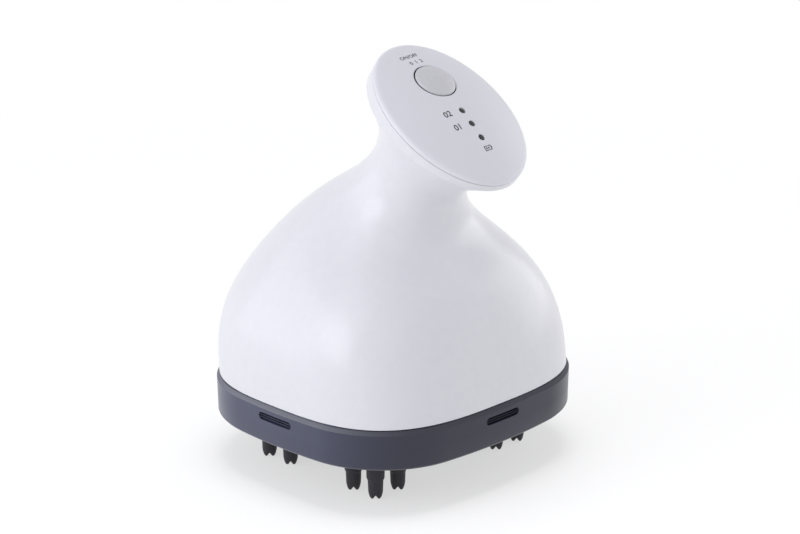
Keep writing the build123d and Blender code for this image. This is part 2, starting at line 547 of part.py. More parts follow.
TAB = MOTOR_R - 5
for s in (-TAB, TAB):
    cap += Pos(*M_AT, m_top + 3.6) * Pos(s, 0, 0) * Box(2.4, 0.6, 2.8)
save(cap, "motor_end_cap")
rotor = rod(*M_AT, SHAFT_R, A_Z0 - 0.2, m_top + 2.5) + rod(*M_AT, 3.0, m_top - 3.0, m_top - 0.8)
pole = magnet_in - AIR_GAP
for i in range(3):
    arm = Pos(*M_AT, 0) * Rot(0, 0, 120 * i) * block(-2, pole + 1, -5.2, 5.2, magnet_z0, magnet_z1)
    rotor += rod(*M_AT, pole, magnet_z0 + 1, magnet_z1 - 1) & arm
save(rotor, "motor_rotor")
save(gear(M_AT, T_PINION, MOD_2, A_Z0 - 0.2, PLATE_Z0 - 0.2, pin_phase, SHAFT_R), "pinion")
motor_screws = [screw(x, y, PLATE_Z0, PLATE_Z1 + 1.4, 1.8, 0.85, 1.0) for x, y in ears]
save(Compound(motor_screws), "motor_screws")

# ------------------------------------------------------------------ battery and charging
cell_z = PLATE_Z1 + 1.5 + CELL_R
half = CELL_L / 2
cradle = block(-half - 2, half + 2, CELL_Y - CRADLE_HY, CELL_Y + CRADLE_HY, PLATE_Z1, cell_z)
lying = Pos(0, CELL_Y, cell_z) * Rot(0, 90, 0)
cradle -= lying * Cylinder(CELL_R + 0.05, CELL_L + 0.4)
cradle -= block(-8, 8, CELL_Y - 10, CELL_Y + 2, PLATE_Z1 + 4, cell_z)
save(cradle, "battery_cradle")
cell = lying * Cylinder(CELL_R, CELL_L - 1.2)
cell += Pos(half - 0.2, CELL_Y, cell_z) * Rot(0, 90, 0) * Cylinder(2.2, 0.8)
save(cell, "battery_cell")

board_y = SPOT_Y - 10.0
charge = block(-9, 9, board_y, board_y + 1.5, PLATE_Z1, PORT_Z + 7)
save(charge, "charge_board")
turn = Rot(90, 0, 0)
mouth = SPOT_Y - 1.6
deep = mouth - 6.0


def along_y(r, y0, y1):
    return Pos(0, (y0 + y1) / 2, PORT_Z) * turn * Cylinder(r, y1 - y0)


socket_y = SPOT_Y - 4.0
socket = block(-4.2, 4.2, board_y + 1.5, socket_y, PORT_Z - 4, PORT_Z + 4)
socket += along_y(3.3, socket_y, mouth)
socket -= along_y(1.75, deep, mouth)
socket += along_y(0.65, deep, mouth - 0.8)
save(socket, "charge_socket")
plug = along_y(5.1, SPOT_Y + 0.05, SPOT_Y + 1.5) + along_y(3.1, mouth + 0.1, SPOT_Y + 0.05)
plug += along_y(1.65, mouth - 4.5, mouth + 0.1) - along_y(0.75, mouth - 4.5, mouth + 0.1)
plug += block(-2.2, 2.2, SPOT_Y + 1.5, SPOT_Y + 2.7, PORT_Z - 4.4, PORT_Z - 2.8)
save(plug, "port_plug")


# ------------------------------------------------------------------ leads through the neck
def lead(x, pts, r=0.9):
    """A sleeved lead in a plane of constant x, with large tangent arcs."""
    path = FilletPolyline(*[(x, y, z) for y, z in pts], radius=8)
    start = Plane(origin=path @ 0, z_dir=path % 0)
    return sweep(start * Circle(r), path=path)


def board_under(x, up):
    """World (y, z) of a point on the underside of the control board."""
    t = math.radians(BUTTON_TILT)
    y0, z0 = head_point(BUTTON_UP, dome_height(BUTTON_UP))
    low_w = board_top - BOARD_T
    return y0 + up * math.cos(t) - low_w * math.sin(t), z0 + up * math.sin(t) + low_w * math.cos(t)


def neck_run(x, up, start):
    """From the start points up the neck, square onto the board's underside."""
    t = math.radians(BUTTON_TILT)
    y1, z1 = board_under(x, up)
    y2, z2 = y1 + 8 * math.sin(t), z1 - 8 * math.cos(t)
    return lead(x, list(start) + [(y2, z2), (y1, z1)])


motor_run = [(M_AT[1], m_top + 5), (M_AT[1], m_top + 11), (-3.5, 77.0)]
save(neck_run(M_AT[0] - TAB, -4, motor_run), "motor_lead")
battery_y = CELL_Y + 8.2
battery_run = [(battery_y, cell_z), (battery_y, 66.0)]
save(neck_run(4.0, -14, battery_run), "battery_lead")
charge_run = [(board_y + 0.75, PORT_Z + 7), (board_y + 0.75, 54.5), (25.5, 63.0), (-1.0, 76.0)]
save(neck_run(0.0, -9, charge_run), "charge_lead")

print("shift", round(SHIFT_Y, 4), "heads", HEADS, "B", B_AT, "A", A_AT, "M", M_AT)
print("button tilt", BUTTON_TILT, "button at", head_point(BUTTON_UP, dome_height(BUTTON_UP)))
print("spot y", SPOT_Y, "port y", port_y)
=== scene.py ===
# %% [markdown]
# # A rechargeable scalp massager, dressed for a studio picture
#
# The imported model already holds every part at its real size: a leaning white housing, a dark ring
# round its base, a domed control panel with one push button, and four geared massage heads.
# This lesson gives those parts their finish. Where a plain solid would look faceted, a finer mesh
# takes its place, built from the same sizes, and it moves with the same body.

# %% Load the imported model
import json
import math

import bmesh
import bpy
import numpy as np
from mathutils import Matrix, Vector


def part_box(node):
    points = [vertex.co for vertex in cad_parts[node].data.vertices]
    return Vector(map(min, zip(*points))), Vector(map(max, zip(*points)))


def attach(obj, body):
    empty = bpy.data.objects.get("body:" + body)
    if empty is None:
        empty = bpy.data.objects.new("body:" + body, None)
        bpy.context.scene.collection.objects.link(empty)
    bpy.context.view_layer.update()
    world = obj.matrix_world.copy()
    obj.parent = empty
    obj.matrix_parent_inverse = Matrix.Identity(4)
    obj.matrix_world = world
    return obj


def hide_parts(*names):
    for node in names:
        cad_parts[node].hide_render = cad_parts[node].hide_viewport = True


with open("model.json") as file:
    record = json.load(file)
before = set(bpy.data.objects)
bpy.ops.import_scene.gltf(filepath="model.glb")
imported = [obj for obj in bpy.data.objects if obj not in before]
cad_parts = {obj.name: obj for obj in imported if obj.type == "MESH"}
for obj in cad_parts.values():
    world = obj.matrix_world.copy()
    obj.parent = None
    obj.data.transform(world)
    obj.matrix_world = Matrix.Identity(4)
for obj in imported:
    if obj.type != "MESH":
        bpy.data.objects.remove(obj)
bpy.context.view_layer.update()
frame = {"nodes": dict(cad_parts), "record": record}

MM = 0.001
ring_low, ring_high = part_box("base_ring")
MID_Y = (ring_low.y + ring_high.y) / 2

# %% [markdown]
# ## A small kit of materials
#
# Moulded plastic is never one flat colour. Its surface has a fine texture from the mould, and its
# gloss wanders a little. So each finish mixes two close tones with a noise pattern, lets the same
# pattern move the roughness, and adds a very shallow bump. The patterns read Object coordinates,
# which stay with the piece when it moves. Three helpers keep the node trees short: one adds a
# node, one gives its inputs their values, and one joins sockets.


# %% Helpers for node trees
def new_node(tree, kind, **settings):
    """A new node with its settings, such as the operation of a maths node."""
    node = tree.nodes.new(kind)
    for setting, value in settings.items():
        setattr(node, setting, value)
    return node


def preset(node, **values):
    """Give a node's inputs their values. An underscore stands for a blank in the input's name."""
    for label, value in values.items():
        node.inputs[label.replace("_", " ")].default_value = value
    return node


def wire(tree, *wires):
    """Join sockets. Each wire names a node, its output, the next node and its input."""
    for start, output, end, entry in wires:
        tree.links.new(start.outputs[output], end.inputs[entry])


# %% One helper for every finish
def finish(name, tones, roughness, grain=900, bump=0.03, depth=0.02 * MM, **sockets):
    """A material: two tones mixed by noise, roughness between two values, and a shallow bump."""
    made = bpy.data.materials.new(name)
    made.use_nodes = True
    tree = made.node_tree
    shader = preset(tree.nodes["Principled BSDF"], **sockets)
    where = new_node(tree, "ShaderNodeTexCoord")
    noise = preset(new_node(tree, "ShaderNodeTexNoise"), Scale=grain, Detail=3.0)
    ramp = new_node(tree, "ShaderNodeValToRGB")
    for stop, position, tone in zip(ramp.color_ramp.elements, (0.3, 0.7), tones):
        stop.position, stop.color = position, (*tone, 1)
    spread = preset(new_node(tree, "ShaderNodeMapRange"), To_Min=roughness[0], To_Max=roughness[1])
    relief = preset(new_node(tree, "ShaderNodeBump"), Strength=bump, Distance=depth)
    wire(tree, (where, "Object", noise, "Vector"),
         (noise, "Fac", ramp, "Fac"), (ramp, "Color", shader, "Base Color"),
         (noise, "Fac", spread, "Value"), (spread, "Result", shader, "Roughness"),
         (noise, "Fac", relief, "Height"), (relief, "Normal", shader, "Normal"))
    return made


def dress(thing, *materials):
    """Give an object one material in every slot, or the given ones in order."""
    slots = thing.data.materials
    while len(slots) < len(materials):
        slots.append(None)
    for i in range(len(slots)):
        slots[i] = materials[min(i, len(materials) - 1)]
    return thing


# %% [markdown]
# ### The outside finishes
#
# The housing is white plastic with a soft gloss. The panel and the button are a shade greyer, as
# painted or metallised plastic is. The ring is dark blue-grey plastic from a mould with an
# eroded texture, so its noise is finer and its gloss is low. The prongs are soft silicone, with a
# faint sheen where the light grazes them.

# %% Finishes that show
white = finish("housing white", ((0.86, 0.857, 0.90), (0.88, 0.877, 0.915)), (0.26, 0.34),
               grain=420, bump=0.05, depth=0.01 * MM, Coat_Weight=0.4, Coat_Roughness=0.22)
panel_grey = finish("panel silver", ((0.885, 0.878, 0.935), (0.905, 0.898, 0.95)), (0.34, 0.42),
                    grain=2600, bump=0.05, depth=0.01 * MM)
button_grey = finish("button silver", ((0.665, 0.657, 0.69), (0.73, 0.722, 0.755)), (0.34, 0.44),
                     grain=2600, bump=0.04, depth=0.01 * MM, Metallic=0.1)
ring_plastic = finish("ring blue grey", ((0.020, 0.022, 0.044), (0.026, 0.029, 0.052)), (0.26, 0.36),
                      grain=3800, bump=0.12, Specular_IOR_Level=0.52)
# The bevel's tones are a lighter copy of the ring plastic. The lighter tone is painted light, for the light
# that the upward bevel catches, and its higher roughness is real.
ring_bevel_painted_light = finish("ring bevel painted light", ((0.052, 0.053, 0.070), (0.062, 0.063, 0.081)), (0.56, 0.68),
                    grain=3800, bump=0.12, Specular_IOR_Level=0.25)
latch_black = finish("latch black", ((0.008, 0.008, 0.010), (0.014, 0.014, 0.016)), (0.35, 0.5),
                     grain=2200, bump=0.15, Specular_IOR_Level=0.2)
silicone = finish("prong silicone", ((0.019, 0.018, 0.026), (0.029, 0.027, 0.037)), (0.5, 0.66),
                  grain=1500, bump=0.2, depth=0.03 * MM, Sheen_Weight=0.12, Sheen_Roughness=0.4)
lens_glass = finish("lens dark", ((0.012, 0.010, 0.012), (0.02, 0.016, 0.018)), (0.08, 0.16), bump=0.0)
print_ink = finish("printed marks", ((0.035, 0.034, 0.04), (0.05, 0.048, 0.055)), (0.5, 0.6),
                   grain=5000, bump=0.1)
print("outside finishes", len(bpy.data.materials))

# %% [markdown]
# ### The inside finishes
#
# The mechanism only shows when the massager is taken apart, but each piece is still told apart by
# its finish: cream acetal gears, a blue one, steel shafts and can, brass bushes, green circuit
# boards, a blue sleeve on the battery cell and red leads. The record names a slot for each node,
# so one table from slot to finish dresses them all.

# %% Finishes inside
# For each slot of the record: name, two tones, roughness, grain, bump and metallic.
INSIDE = {
    "steel": ("steel", (0.52, 0.53, 0.54), (0.60, 0.60, 0.61), (0.2, 0.34), 1800, 0.05, 1.0),
    "brass": ("brass", (0.62, 0.46, 0.20), (0.70, 0.53, 0.25), (0.22, 0.34), 1600, 0.05, 1.0),
    "gear_white": ("acetal cream", (0.76, 0.74, 0.66), (0.82, 0.80, 0.72), (0.36, 0.46), 700, 0.04, 0.0),
    "gear_blue": ("acetal blue", (0.05, 0.14, 0.36), (0.07, 0.18, 0.42), (0.36, 0.46), 700, 0.04, 0.0),
    "board_green": ("circuit board", (0.012, 0.10, 0.045), (0.02, 0.16, 0.07), (0.25, 0.4), 900, 0.1, 0.0),
    "cell_sleeve": ("cell sleeve", (0.03, 0.10, 0.34), (0.04, 0.13, 0.40), (0.18, 0.3), 500, 0.03, 0.0),
    "lead_red": ("lead sleeve", (0.36, 0.02, 0.015), (0.45, 0.03, 0.02), (0.4, 0.55), 1500, 0.08, 0.0),
    "magnet": ("magnet", (0.05, 0.05, 0.055), (0.075, 0.075, 0.08), (0.55, 0.7), 1900, 0.2, 0.0),
    "seal_silicone": ("seal silicone", (0.10, 0.10, 0.11), (0.13, 0.13, 0.14), (0.5, 0.65), 1300, 0.1, 0.0),
    "led_white": ("led lens", (0.80, 0.80, 0.74), (0.86, 0.86, 0.80), (0.1, 0.2), 800, 0.0, 0.0),
}
by_slot = {
    "white_shell": white, "panel_grey": panel_grey, "button_grey": button_grey,
    "ring_blue_grey": ring_plastic, "black_plastic": latch_black, "dark_lens": lens_glass,
    "claw_silicone": silicone,
}
for slot, (name, dark, light, roughness, grain, bump, metallic) in INSIDE.items():
    by_slot[slot] = finish(name, (dark, light), roughness, grain, bump, Metallic=metallic)
for part in frame["record"]["subparts"]:
    dress(frame["nodes"][part["node"]], by_slot[part["material_slot"]])

# %% [markdown]
# ## Rings of points
#
# Almost every outside piece here is a skin drawn through rings of points: the housing from its
# base to its lip, the dark ring round its section, the button round its edge. One helper joins such
# rings with four-sided faces and closes the skin. Another makes the rings of a turned shape from
# its profile, and a third walks a quarter round for the edges. Every piece is shaded smooth except
# across sharp edges.

# %% From points to objects
SHARP_EDGE = 32
SAME_POINT = 0.0005 * MM


def put(name, data):
    """A new object in the scene."""
    made = bpy.data.objects.new(name, data)
    bpy.context.scene.collection.objects.link(made)
    return made


def soften(mesh, sharp):
    """Smooth shading, except across edges that turn by more than the given degrees."""
    mesh.shade_smooth()
    mesh.set_sharp_from_angle(angle=math.radians(sharp))


def to_object(name, bm, sharp=SHARP_EDGE):
    """Turn a bmesh into a scene object with clean normals and smooth shading."""
    bmesh.ops.remove_doubles(bm, verts=bm.verts, dist=SAME_POINT)
    bmesh.ops.recalc_face_normals(bm, faces=bm.faces)
    mesh = bpy.data.meshes.new(name)
    bm.to_mesh(mesh)
    bm.free()
    soften(mesh, sharp)
    return put(name, mesh)


# %% Skins, turned shapes and rounds
def skin(bm, rings, closed=False, caps=(False, False), bare=()):
    """Faces between neighbouring rings; closed joins the last to the first; bare bands get slot 1."""
    rows = [[bm.verts.new(point) for point in ring] for ring in rings]
    count = len(rows[0])
    pairs = list(zip(rows, rows[1:]))
    if closed:
        pairs.append((rows[-1], rows[0]))
    for band, (low, high) in enumerate(pairs):
        for i in range(count):
            j = (i + 1) % count
            face = bm.faces.new((low[i], low[j], high[j], high[i]))
            face.material_index = 1 if band in bare else 0
    if caps[0]:
        bm.faces.new(rows[0][::-1])
    if caps[1]:
        bm.faces.new(rows[-1])
    return bm


def full_turn(steps):
    """Angles spread evenly round a full turn."""
    return [2 * math.pi * i / steps for i in range(steps)]


def turned(bm, profile, place=Matrix.Identity(4), sides=48, bare=(), closed=False):
    """A turned shape: rings of the profile's (radius, height) pairs, in the frame of place."""
    rings = []
    for r, z in profile:
        points = [Vector((r * math.cos(a), r * math.sin(a), z)) for a in full_turn(sides)]
        rings.append([place @ point for point in points])
    return skin(bm, rings, closed, caps=(not closed, not closed), bare=bare)


def rolled(steps):
    """Steps of a quarter round, upright to level: the share inwards and the share below the top."""
    angles = [math.pi / 2 * i / steps for i in range(steps + 1)]
    return [(1 - math.cos(a), 1 - math.sin(a)) for a in angles]


def in_metres(pairs):
    """A table of pairs in millimetres, turned into metres."""
    return [(a * MM, b * MM) for a, b in pairs]


print("edges that turn by more than", SHARP_EDGE, "degrees stay sharp")


# %% Finished pieces and cuts
def place_piece(piece, body, slot, *nodes):
    """A finished piece rides on its body and stands for its nodes, which it hides. The slot is not used."""
    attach(piece, body)
    if nodes:
        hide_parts(*nodes)
    print(piece.name, "faces", len(piece.data.polygons))


def applied_mesh(thing):
    """The mesh of an object as its modifiers or its text leave it."""
    graph = bpy.context.evaluated_depsgraph_get()
    return bpy.data.meshes.new_from_object(thing.evaluated_get(graph))


def cut_with(piece, cutter):
    """Take the cutter out of the piece, then remove the cutter."""
    step = piece.modifiers.new("cut", "BOOLEAN")
    step.operation, step.solver, step.object = "DIFFERENCE", "EXACT", cutter
    mesh = applied_mesh(piece)
    piece.modifiers.clear()
    mesh.name = piece.data.name
    piece.data = mesh
    bpy.data.objects.remove(cutter)
    soften(mesh, SHARP_EDGE)


# %% [markdown]
# ## The base outline
#
# Seen from below, the base is a rounded square made of eight arcs: a wide one on each side and a
# tight one at each corner, all tangent. Because each arc keeps its centre when it is offset, the
# same function gives the outside of the ring and its inside.

# %% Eight tangent arcs
BASE_HX, BASE_HY = 46.0 * MM, 42.5 * MM
CORNER_R = 28.6 * MM
CORNER_X, CORNER_Y = BASE_HX - 29.24 * MM, BASE_HY - 29.62 * MM
SIDE_STEPS, CORNER_STEPS = 26, 38


def side_arc(half, along, across):
    """Centre and radius of a side's arc, tangent to the corner arcs at its ends."""
    back = along - half
    r = (CORNER_R ** 2 - back ** 2 - across ** 2) / (2 * (back + CORNER_R))
    return half - r, r


SIDE_X, SIDE_XR = side_arc(BASE_HX, CORNER_X, CORNER_Y)
SIDE_Y, SIDE_YR = side_arc(BASE_HY, CORNER_Y, CORNER_X)
TURN_A = math.atan2(CORNER_Y, CORNER_X - SIDE_X)
TURN_B = math.atan2(CORNER_Y - SIDE_Y, CORNER_X)


def base_ring_points(inset, z):
    """One ring of points on the base outline, offset inwards by the inset, at height z."""
    arcs = []
    for k in range(4):
        quarter = k * math.pi / 2
        on_x = k % 2 == 0
        a, b = (TURN_A, TURN_B) if on_x else (math.pi / 2 - TURN_B, math.pi / 2 - TURN_A)
        side, side_r = (SIDE_X, SIDE_XR) if on_x else (SIDE_Y, SIDE_YR)
        middle = (side * math.cos(quarter), side * math.sin(quarter))
        corner = ((1, -1, -1, 1)[k] * CORNER_X, (1, 1, -1, -1)[k] * CORNER_Y)
        arcs.append((middle, side_r - inset, quarter - a, quarter + a, SIDE_STEPS))
        arcs.append((corner, CORNER_R - inset, quarter + a, quarter + b, CORNER_STEPS))
    points = []
    for (x, y), r, start, end, steps in arcs:
        for i in range(steps):
            t = start + (end - start) * i / steps
            points.append(Vector((x + r * math.cos(t), MID_Y + y + r * math.sin(t), z)))
    return points


print("points round the base", len(base_ring_points(0, 0)))

# %% [markdown]
# ## The dark ring
#
# The ring is a band with a small chamfer at the bottom and a wider bevel at the top, which is more
# matt than the side and painted a shade lighter: that lighter tone is painted light, for the light
# that the upward-facing bevel catches. The side slopes in slightly towards the bottom, as moulded
# parts do. At the top a low inner rib carries the housing, so a narrow shadow gap stays between the
# two, which is the dark line over the ring. The section is walked once, outside and inside, and
# skinned round the outline. The four slots are then cut with rounded bars that widen outwards.

# %% The ring before its slots
# Inset from the outline and height of each point of the section, in mm, and the bevel's bands.
RING_SECTION = (
    (2.4, 13.8), (0.98, 13.8), (0.84, 13.86), (0.3, 14.42), (0.24, 14.55), (0.12, 19.5), (0.01, 23.9),
    (0.0, 24.06), (0.02, 24.13), (0.06, 24.19), (0.16, 24.33), (0.72, 25.1), (0.78, 25.16), (0.86, 25.2),
    (1.15, 25.2), (1.15, 25.52), (2.4, 25.52), (2.4, 19.5),
)
# These bands get the lighter bevel tone, which is painted light.
BEVEL_BANDS = range(7, 13)
outlines = [base_ring_points(inset * MM, z * MM) for inset, z in RING_SECTION]
ring = to_object("ring", skin(bmesh.new(), outlines, closed=True, bare=BEVEL_BANDS), sharp=25)
print("points in the ring's section", len(RING_SECTION))

# %% The slots
SLOT_Z, SLOT_L, SLOT_H = 21.7 * MM, 12.6 * MM, 2.0 * MM
# How far out each ring of the cutting bar lies, in mm, and its round ends' growth.
SLOT_BAR = ((-4.0, 1.0), (-0.45, 1.0), (0.0, 1.12), (3.0, 1.9))
END_STEPS = 16
SIDE_REACH = (BASE_HX, BASE_HY, BASE_HX, BASE_HY)


def side_frame(k):
    """A frame on the middle of the base whose +X points at side k."""
    return Matrix.Translation((0, MID_Y, 0)) @ Matrix.Rotation(k * math.pi / 2, 4, "Z")


def slot_bar(k, reach):
    """A bar with round ends that cuts the slot of side k through the wall."""
    half, r = SLOT_L / 2 - SLOT_H / 2, SLOT_H / 2
    outline = []
    for end in (1, -1):
        for i in range(END_STEPS + 1):
            a = math.pi * i / END_STEPS
            outline.append((end * (half + r * math.sin(a)), end * r * math.cos(a)))
    rings = []
    for out, wider in SLOT_BAR:
        points = []
        for u, v in outline:
            centre = Vector((max(-half, min(half, u)), 0))
            push = (Vector((u, v)) - centre).normalized() * (r * (wider - 1))
            points.append(side_frame(k) @ Vector((reach + out * MM, u + push.x, SLOT_Z + v + push.y)))
        rings.append(points)
    return to_object("slot bar", skin(bmesh.new(), rings, caps=(True, True)))


for k, reach in enumerate(SIDE_REACH):
    cut_with(ring, slot_bar(k, reach))
# The bevel bands take the lighter tone here, which is painted light.
place_piece(dress(ring, ring_plastic, ring_bevel_painted_light), "housing", "ring_blue_grey", "base_ring")

# %% [markdown]
# Two fine ribs run across each slot, a little way in, so a finger or a hair can't go through. Each
# rib is a bar with an eight-sided section whose ends are buried in the ring.

# %% Ribs in the slots
RIB_UP, RIB_HALF_T, RIB_HALF_D, RIB_IN = 0.34 * MM, 0.13 * MM, 0.4 * MM, 0.7 * MM
RIB_SIDES, HALF_STEP = 8, math.pi / 8
bm = bmesh.new()
for k, reach in enumerate(SIDE_REACH):
    for side in (-1, 1):
        rib = []
        for along in (-SLOT_L / 2, SLOT_L / 2):
            end = []
            for a in full_turn(RIB_SIDES):
                x = reach - RIB_IN + RIB_HALF_D * math.cos(a + HALF_STEP)
                z = SLOT_Z + side * RIB_UP + RIB_HALF_T * math.sin(a + HALF_STEP)
                end.append(side_frame(k) @ Vector((x, along, z)))
            rib.append(end)
        skin(bm, rib, caps=(True, True))
slot_ribs = to_object("slot_ribs", bm, sharp=50)
place_piece(dress(slot_ribs, ring_plastic), "housing", "ring_blue_grey")

# %% [markdown]
# ## The housing
#
# The housing is one flowing form, so it is lofted: a closed section at each of a few heights, and
# a smooth curve through matching points of those sections. The sections start as a rounded square
# at the ring and end as the tilted oval of the head. The skin then turns over the lip, drops to
# the seat of the panel and comes back down inside, which gives the housing its wall.

# %% Sizes and sections of the housing
WALL, FOOT, SEAT_T = 2.2 * MM, 0.32 * MM, 1.2 * MM
HEAD_Y, HEAD_Z, HEAD_TILT = MID_Y - 22.4 * MM, 104.2 * MM, math.radians(34.6)
PANEL_RX, PANEL_RY = 20.2 * MM, 25.6 * MM
CAP, SEAM, LIP_FRONT, LIP_BACK = 1.0 * MM, 0.12 * MM, 3.0 * MM, 5.6 * MM
SKIRT, SEAT, LEDGE = 1.4 * MM, 3.6 * MM, 3.0 * MM
# Height, place along y, tilt in degrees, half width, half depth and squareness of each section.
STATIONS = (
    (25.2, 0.0, 0.0, 45.2, 41.7, 3.0),
    (36.0, 0.9, 0.0, 44.9, 41.0, 3.0),
    (48.0, 1.7, 0.0, 41.6, 38.2, 2.9),
    (60.0, 1.4, 2.5, 34.0, 32.2, 2.6),
    (72.5, -1.7, 13.0, 22.2, 21.0, 2.3),
    (85.0, -10.3, 20.0, 14.0, 14.1, 2.1),
    (93.5, -16.5, 30.5, 15.7, 17.3, 2.0),
)
AROUND, UP_STEPS, DOWN_STEPS = 160, 96, 40


def section(y, z, tilt, hx, hy, n):
    """Points of |x/hx|^n + |y/hy|^n = 1 in a plane that leans forward by the tilt."""
    points = []
    for a in full_turn(AROUND):
        c, s = math.cos(a), math.sin(a)
        r = (abs(c / hx) ** n + abs(s / hy) ** n) ** (-1 / n)
        points.append((r * c, y + r * s * math.cos(tilt), z + r * s * math.sin(tilt)))
    return np.array(points)


def head_section(rx, ry, out, slant=0.0):
    """An ellipse at a distance out from the head's plane, or the slanted cut of that oval bar."""
    y, z = HEAD_Y - out * math.sin(HEAD_TILT), HEAD_Z + out * math.cos(HEAD_TILT)
    return section(y, z, HEAD_TILT - slant, rx, ry / math.cos(slant), 2.0)


print("sections", len(STATIONS), "and the head")


# %% The curve through the sections
def smooth_curve(knots, values, at):
    """Natural cubic spline through the values, read at each parameter in at."""
    n, h = len(knots), np.diff(knots)
    left, right = np.eye(n), np.zeros_like(values)
    for i in range(1, n - 1):
        left[i, i - 1:i + 2] = h[i - 1], 2 * (h[i - 1] + h[i]), h[i]
        right[i] = 6 * ((values[i + 1] - values[i]) / h[i] - (values[i] - values[i - 1]) / h[i - 1])
    bend = np.linalg.solve(left, right.reshape(n, -1)).reshape(values.shape)
    rows = []
    for t in at:
        i = min(max(int(np.searchsorted(knots, t)) - 1, 0), n - 2)
        a, b = (knots[i + 1] - t) / h[i], (t - knots[i]) / h[i]
        curve = ((a ** 3 - a) * bend[i] + (b ** 3 - b) * bend[i + 1]) * h[i] ** 2 / 6
        rows.append(a * values[i] + b * values[i + 1] + curve)
    return rows


def loft_rows(inset, last, steps):
    """Rows of points up the housing, each station shrunk by the inset, ending in the last section."""
    stations = []
    for z, y, tilt, hx, hy, n in STATIONS:
        half_x, half_y = hx * MM - inset, hy * MM - inset
        stations.append(section(MID_Y + y * MM, z * MM, math.radians(tilt), half_x, half_y, n))
    values = np.array([*stations, last])
    gaps = np.linalg.norm(np.diff(values, axis=0), axis=2).mean(axis=1)
    knots = np.concatenate([[0.0], np.cumsum(gaps)])
    return smooth_curve(knots, values, np.linspace(0, knots[-1], steps))


SLANT = math.atan((LIP_BACK - LIP_FRONT) / (2 * PANEL_RY))
LIP_MID = (LIP_FRONT + LIP_BACK) / 2
outer = loft_rows(0.0, head_section(PANEL_RX, PANEL_RY, -LIP_MID, SLANT), UP_STEPS)
outer[0] = outer[0] + np.array((0, 0, FOOT))
inner = loft_rows(WALL, head_section(PANEL_RX - LEDGE, PANEL_RY - LEDGE, -SEAT - SEAT_T), DOWN_STEPS)
print("rows outside", len(outer), "inside", len(inner))

# %% [markdown]
# Above the last section a plain oval band follows: it is low at the front and taller at the back,
# because the loft ends on a slanted cut. Its edge is lightly rounded. Just above it the panel's cap
# comes out to the same outline, and the narrow gap between the two is the fine dark seam that runs
# round the head. Inside, the shell steps down to the seat of the panel.

# %% The lip, the seat and the whole shell
EDGE, SKIRT_GAP, BAND_STEPS = 0.15 * MM, 0.1 * MM, 4
RIM_OUT = -CAP - SEAM
REBATE = SKIRT - SKIRT_GAP
lip_rows = []
for i in range(1, BAND_STEPS + 1):
    t = i / BAND_STEPS
    out = -LIP_MID * (1 - t) + (RIM_OUT - EDGE) * t
    lip_rows.append(head_section(PANEL_RX, PANEL_RY, out, SLANT * (1 - t)))
for back, down in rolled(3)[1:]:
    inset = EDGE * back
    lip_rows.append(head_section(PANEL_RX - inset, PANEL_RY - inset, RIM_OUT - EDGE * down))
for inset, out in ((REBATE, RIM_OUT), (REBATE, -SEAT), (LEDGE, -SEAT)):
    lip_rows.append(head_section(PANEL_RX - inset, PANEL_RY - inset, out))
housing = to_object("housing", skin(bmesh.new(), [*outer, *lip_rows, *inner[::-1]], closed=True), sharp=38)

# %% [markdown]
# At the back a round spot face is sunk into the wall, with a bore through it, for the plug of the
# charging inlet. One stepped cutter makes both.

# %% The charging port
PORT_Z, PORT_BORE, SPOT_R, CUT_DEEP, FLANGE_OUT = 41.0 * MM, 3.4 * MM, 5.4 * MM, 6.0 * MM, 2.7 * MM
plug_low, plug_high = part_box("port_plug")
spot_y = plug_high.y - FLANGE_OUT
facing_back = Matrix.Translation((0, spot_y, PORT_Z)) @ Matrix.Rotation(-math.pi / 2, 4, "X")
stepped = ((PORT_BORE, -CUT_DEEP), (PORT_BORE, 0.0), (SPOT_R, 0.0), (SPOT_R, CUT_DEEP))
cut_with(housing, to_object("port cutter", turned(bmesh.new(), stepped, facing_back, sides=64)))
place_piece(dress(housing, white), "housing", "white_shell", "housing_shell")

# %% [markdown]
# ## The control panel
#
# The panel is a shallow dome with a long arc down its slope and a tighter one across it, and it
# caps the head: its edge rolls over and ends flush with the oval band. It is meshed in rings that
# start round the button's hole and spread to the oval edge, so both edges stay exact and the light
# flows over the dome without a ripple. The hole runs square to the dome, which leans a few degrees
# away from the head. The panel is black plastic with a silver paint outside: the wall of the hole
# and the underside stay bare, so the gap round the button looks dark.

# %% The dome and its height
DOME_RISE = 3.8 * MM
DOME_RX = (PANEL_RX ** 2 + DOME_RISE ** 2) / (2 * DOME_RISE)
DOME_RY = (PANEL_RY ** 2 + DOME_RISE ** 2) / (2 * DOME_RISE)
BUTTON_UP, BUTTON_R, BUTTON_GAP = 9.3 * MM, 5.8 * MM, 0.3 * MM
HEAD_FRAME = Matrix.Translation((0, HEAD_Y, HEAD_Z)) @ Matrix.Rotation(HEAD_TILT, 4, "X")


def dome_height(x, y):
    """Height of the dome above the plane of the lip, at a place on the head."""
    across = math.sqrt(DOME_RX ** 2 - x ** 2) - (DOME_RX - DOME_RISE)
    reach = DOME_RY - DOME_RISE + across
    return math.sqrt(reach ** 2 - y ** 2) - (DOME_RY - DOME_RISE)


LEAN = math.asin(BUTTON_UP / DOME_RY)
button_top = HEAD_FRAME @ Matrix.Translation((0, BUTTON_UP, dome_height(0, BUTTON_UP)))
BUTTON_FRAME = button_top @ Matrix.Rotation(-LEAN, 4, "X")
print("dome rises", round(dome_height(0, 0) / MM, 2), "mm; the button leans", round(math.degrees(LEAN), 2))

# %% Where a ring of the panel lies
PANEL_SIDES, TOP_STEPS, EDGE_STEPS, UNDER_STEPS = 128, 22, 8, 8
PANEL_T, PANEL_LOW, SKIRT_T = 2.0 * MM, -SEAT + 0.4 * MM, 1.4 * MM
EDGE_IN, EDGE_LOW, EDGE_BACK = 1.19 * MM, -0.94 * CAP, 0.06 * MM
HOLE_R, HOLE_ROUND = BUTTON_R + BUTTON_GAP, 0.3 * MM


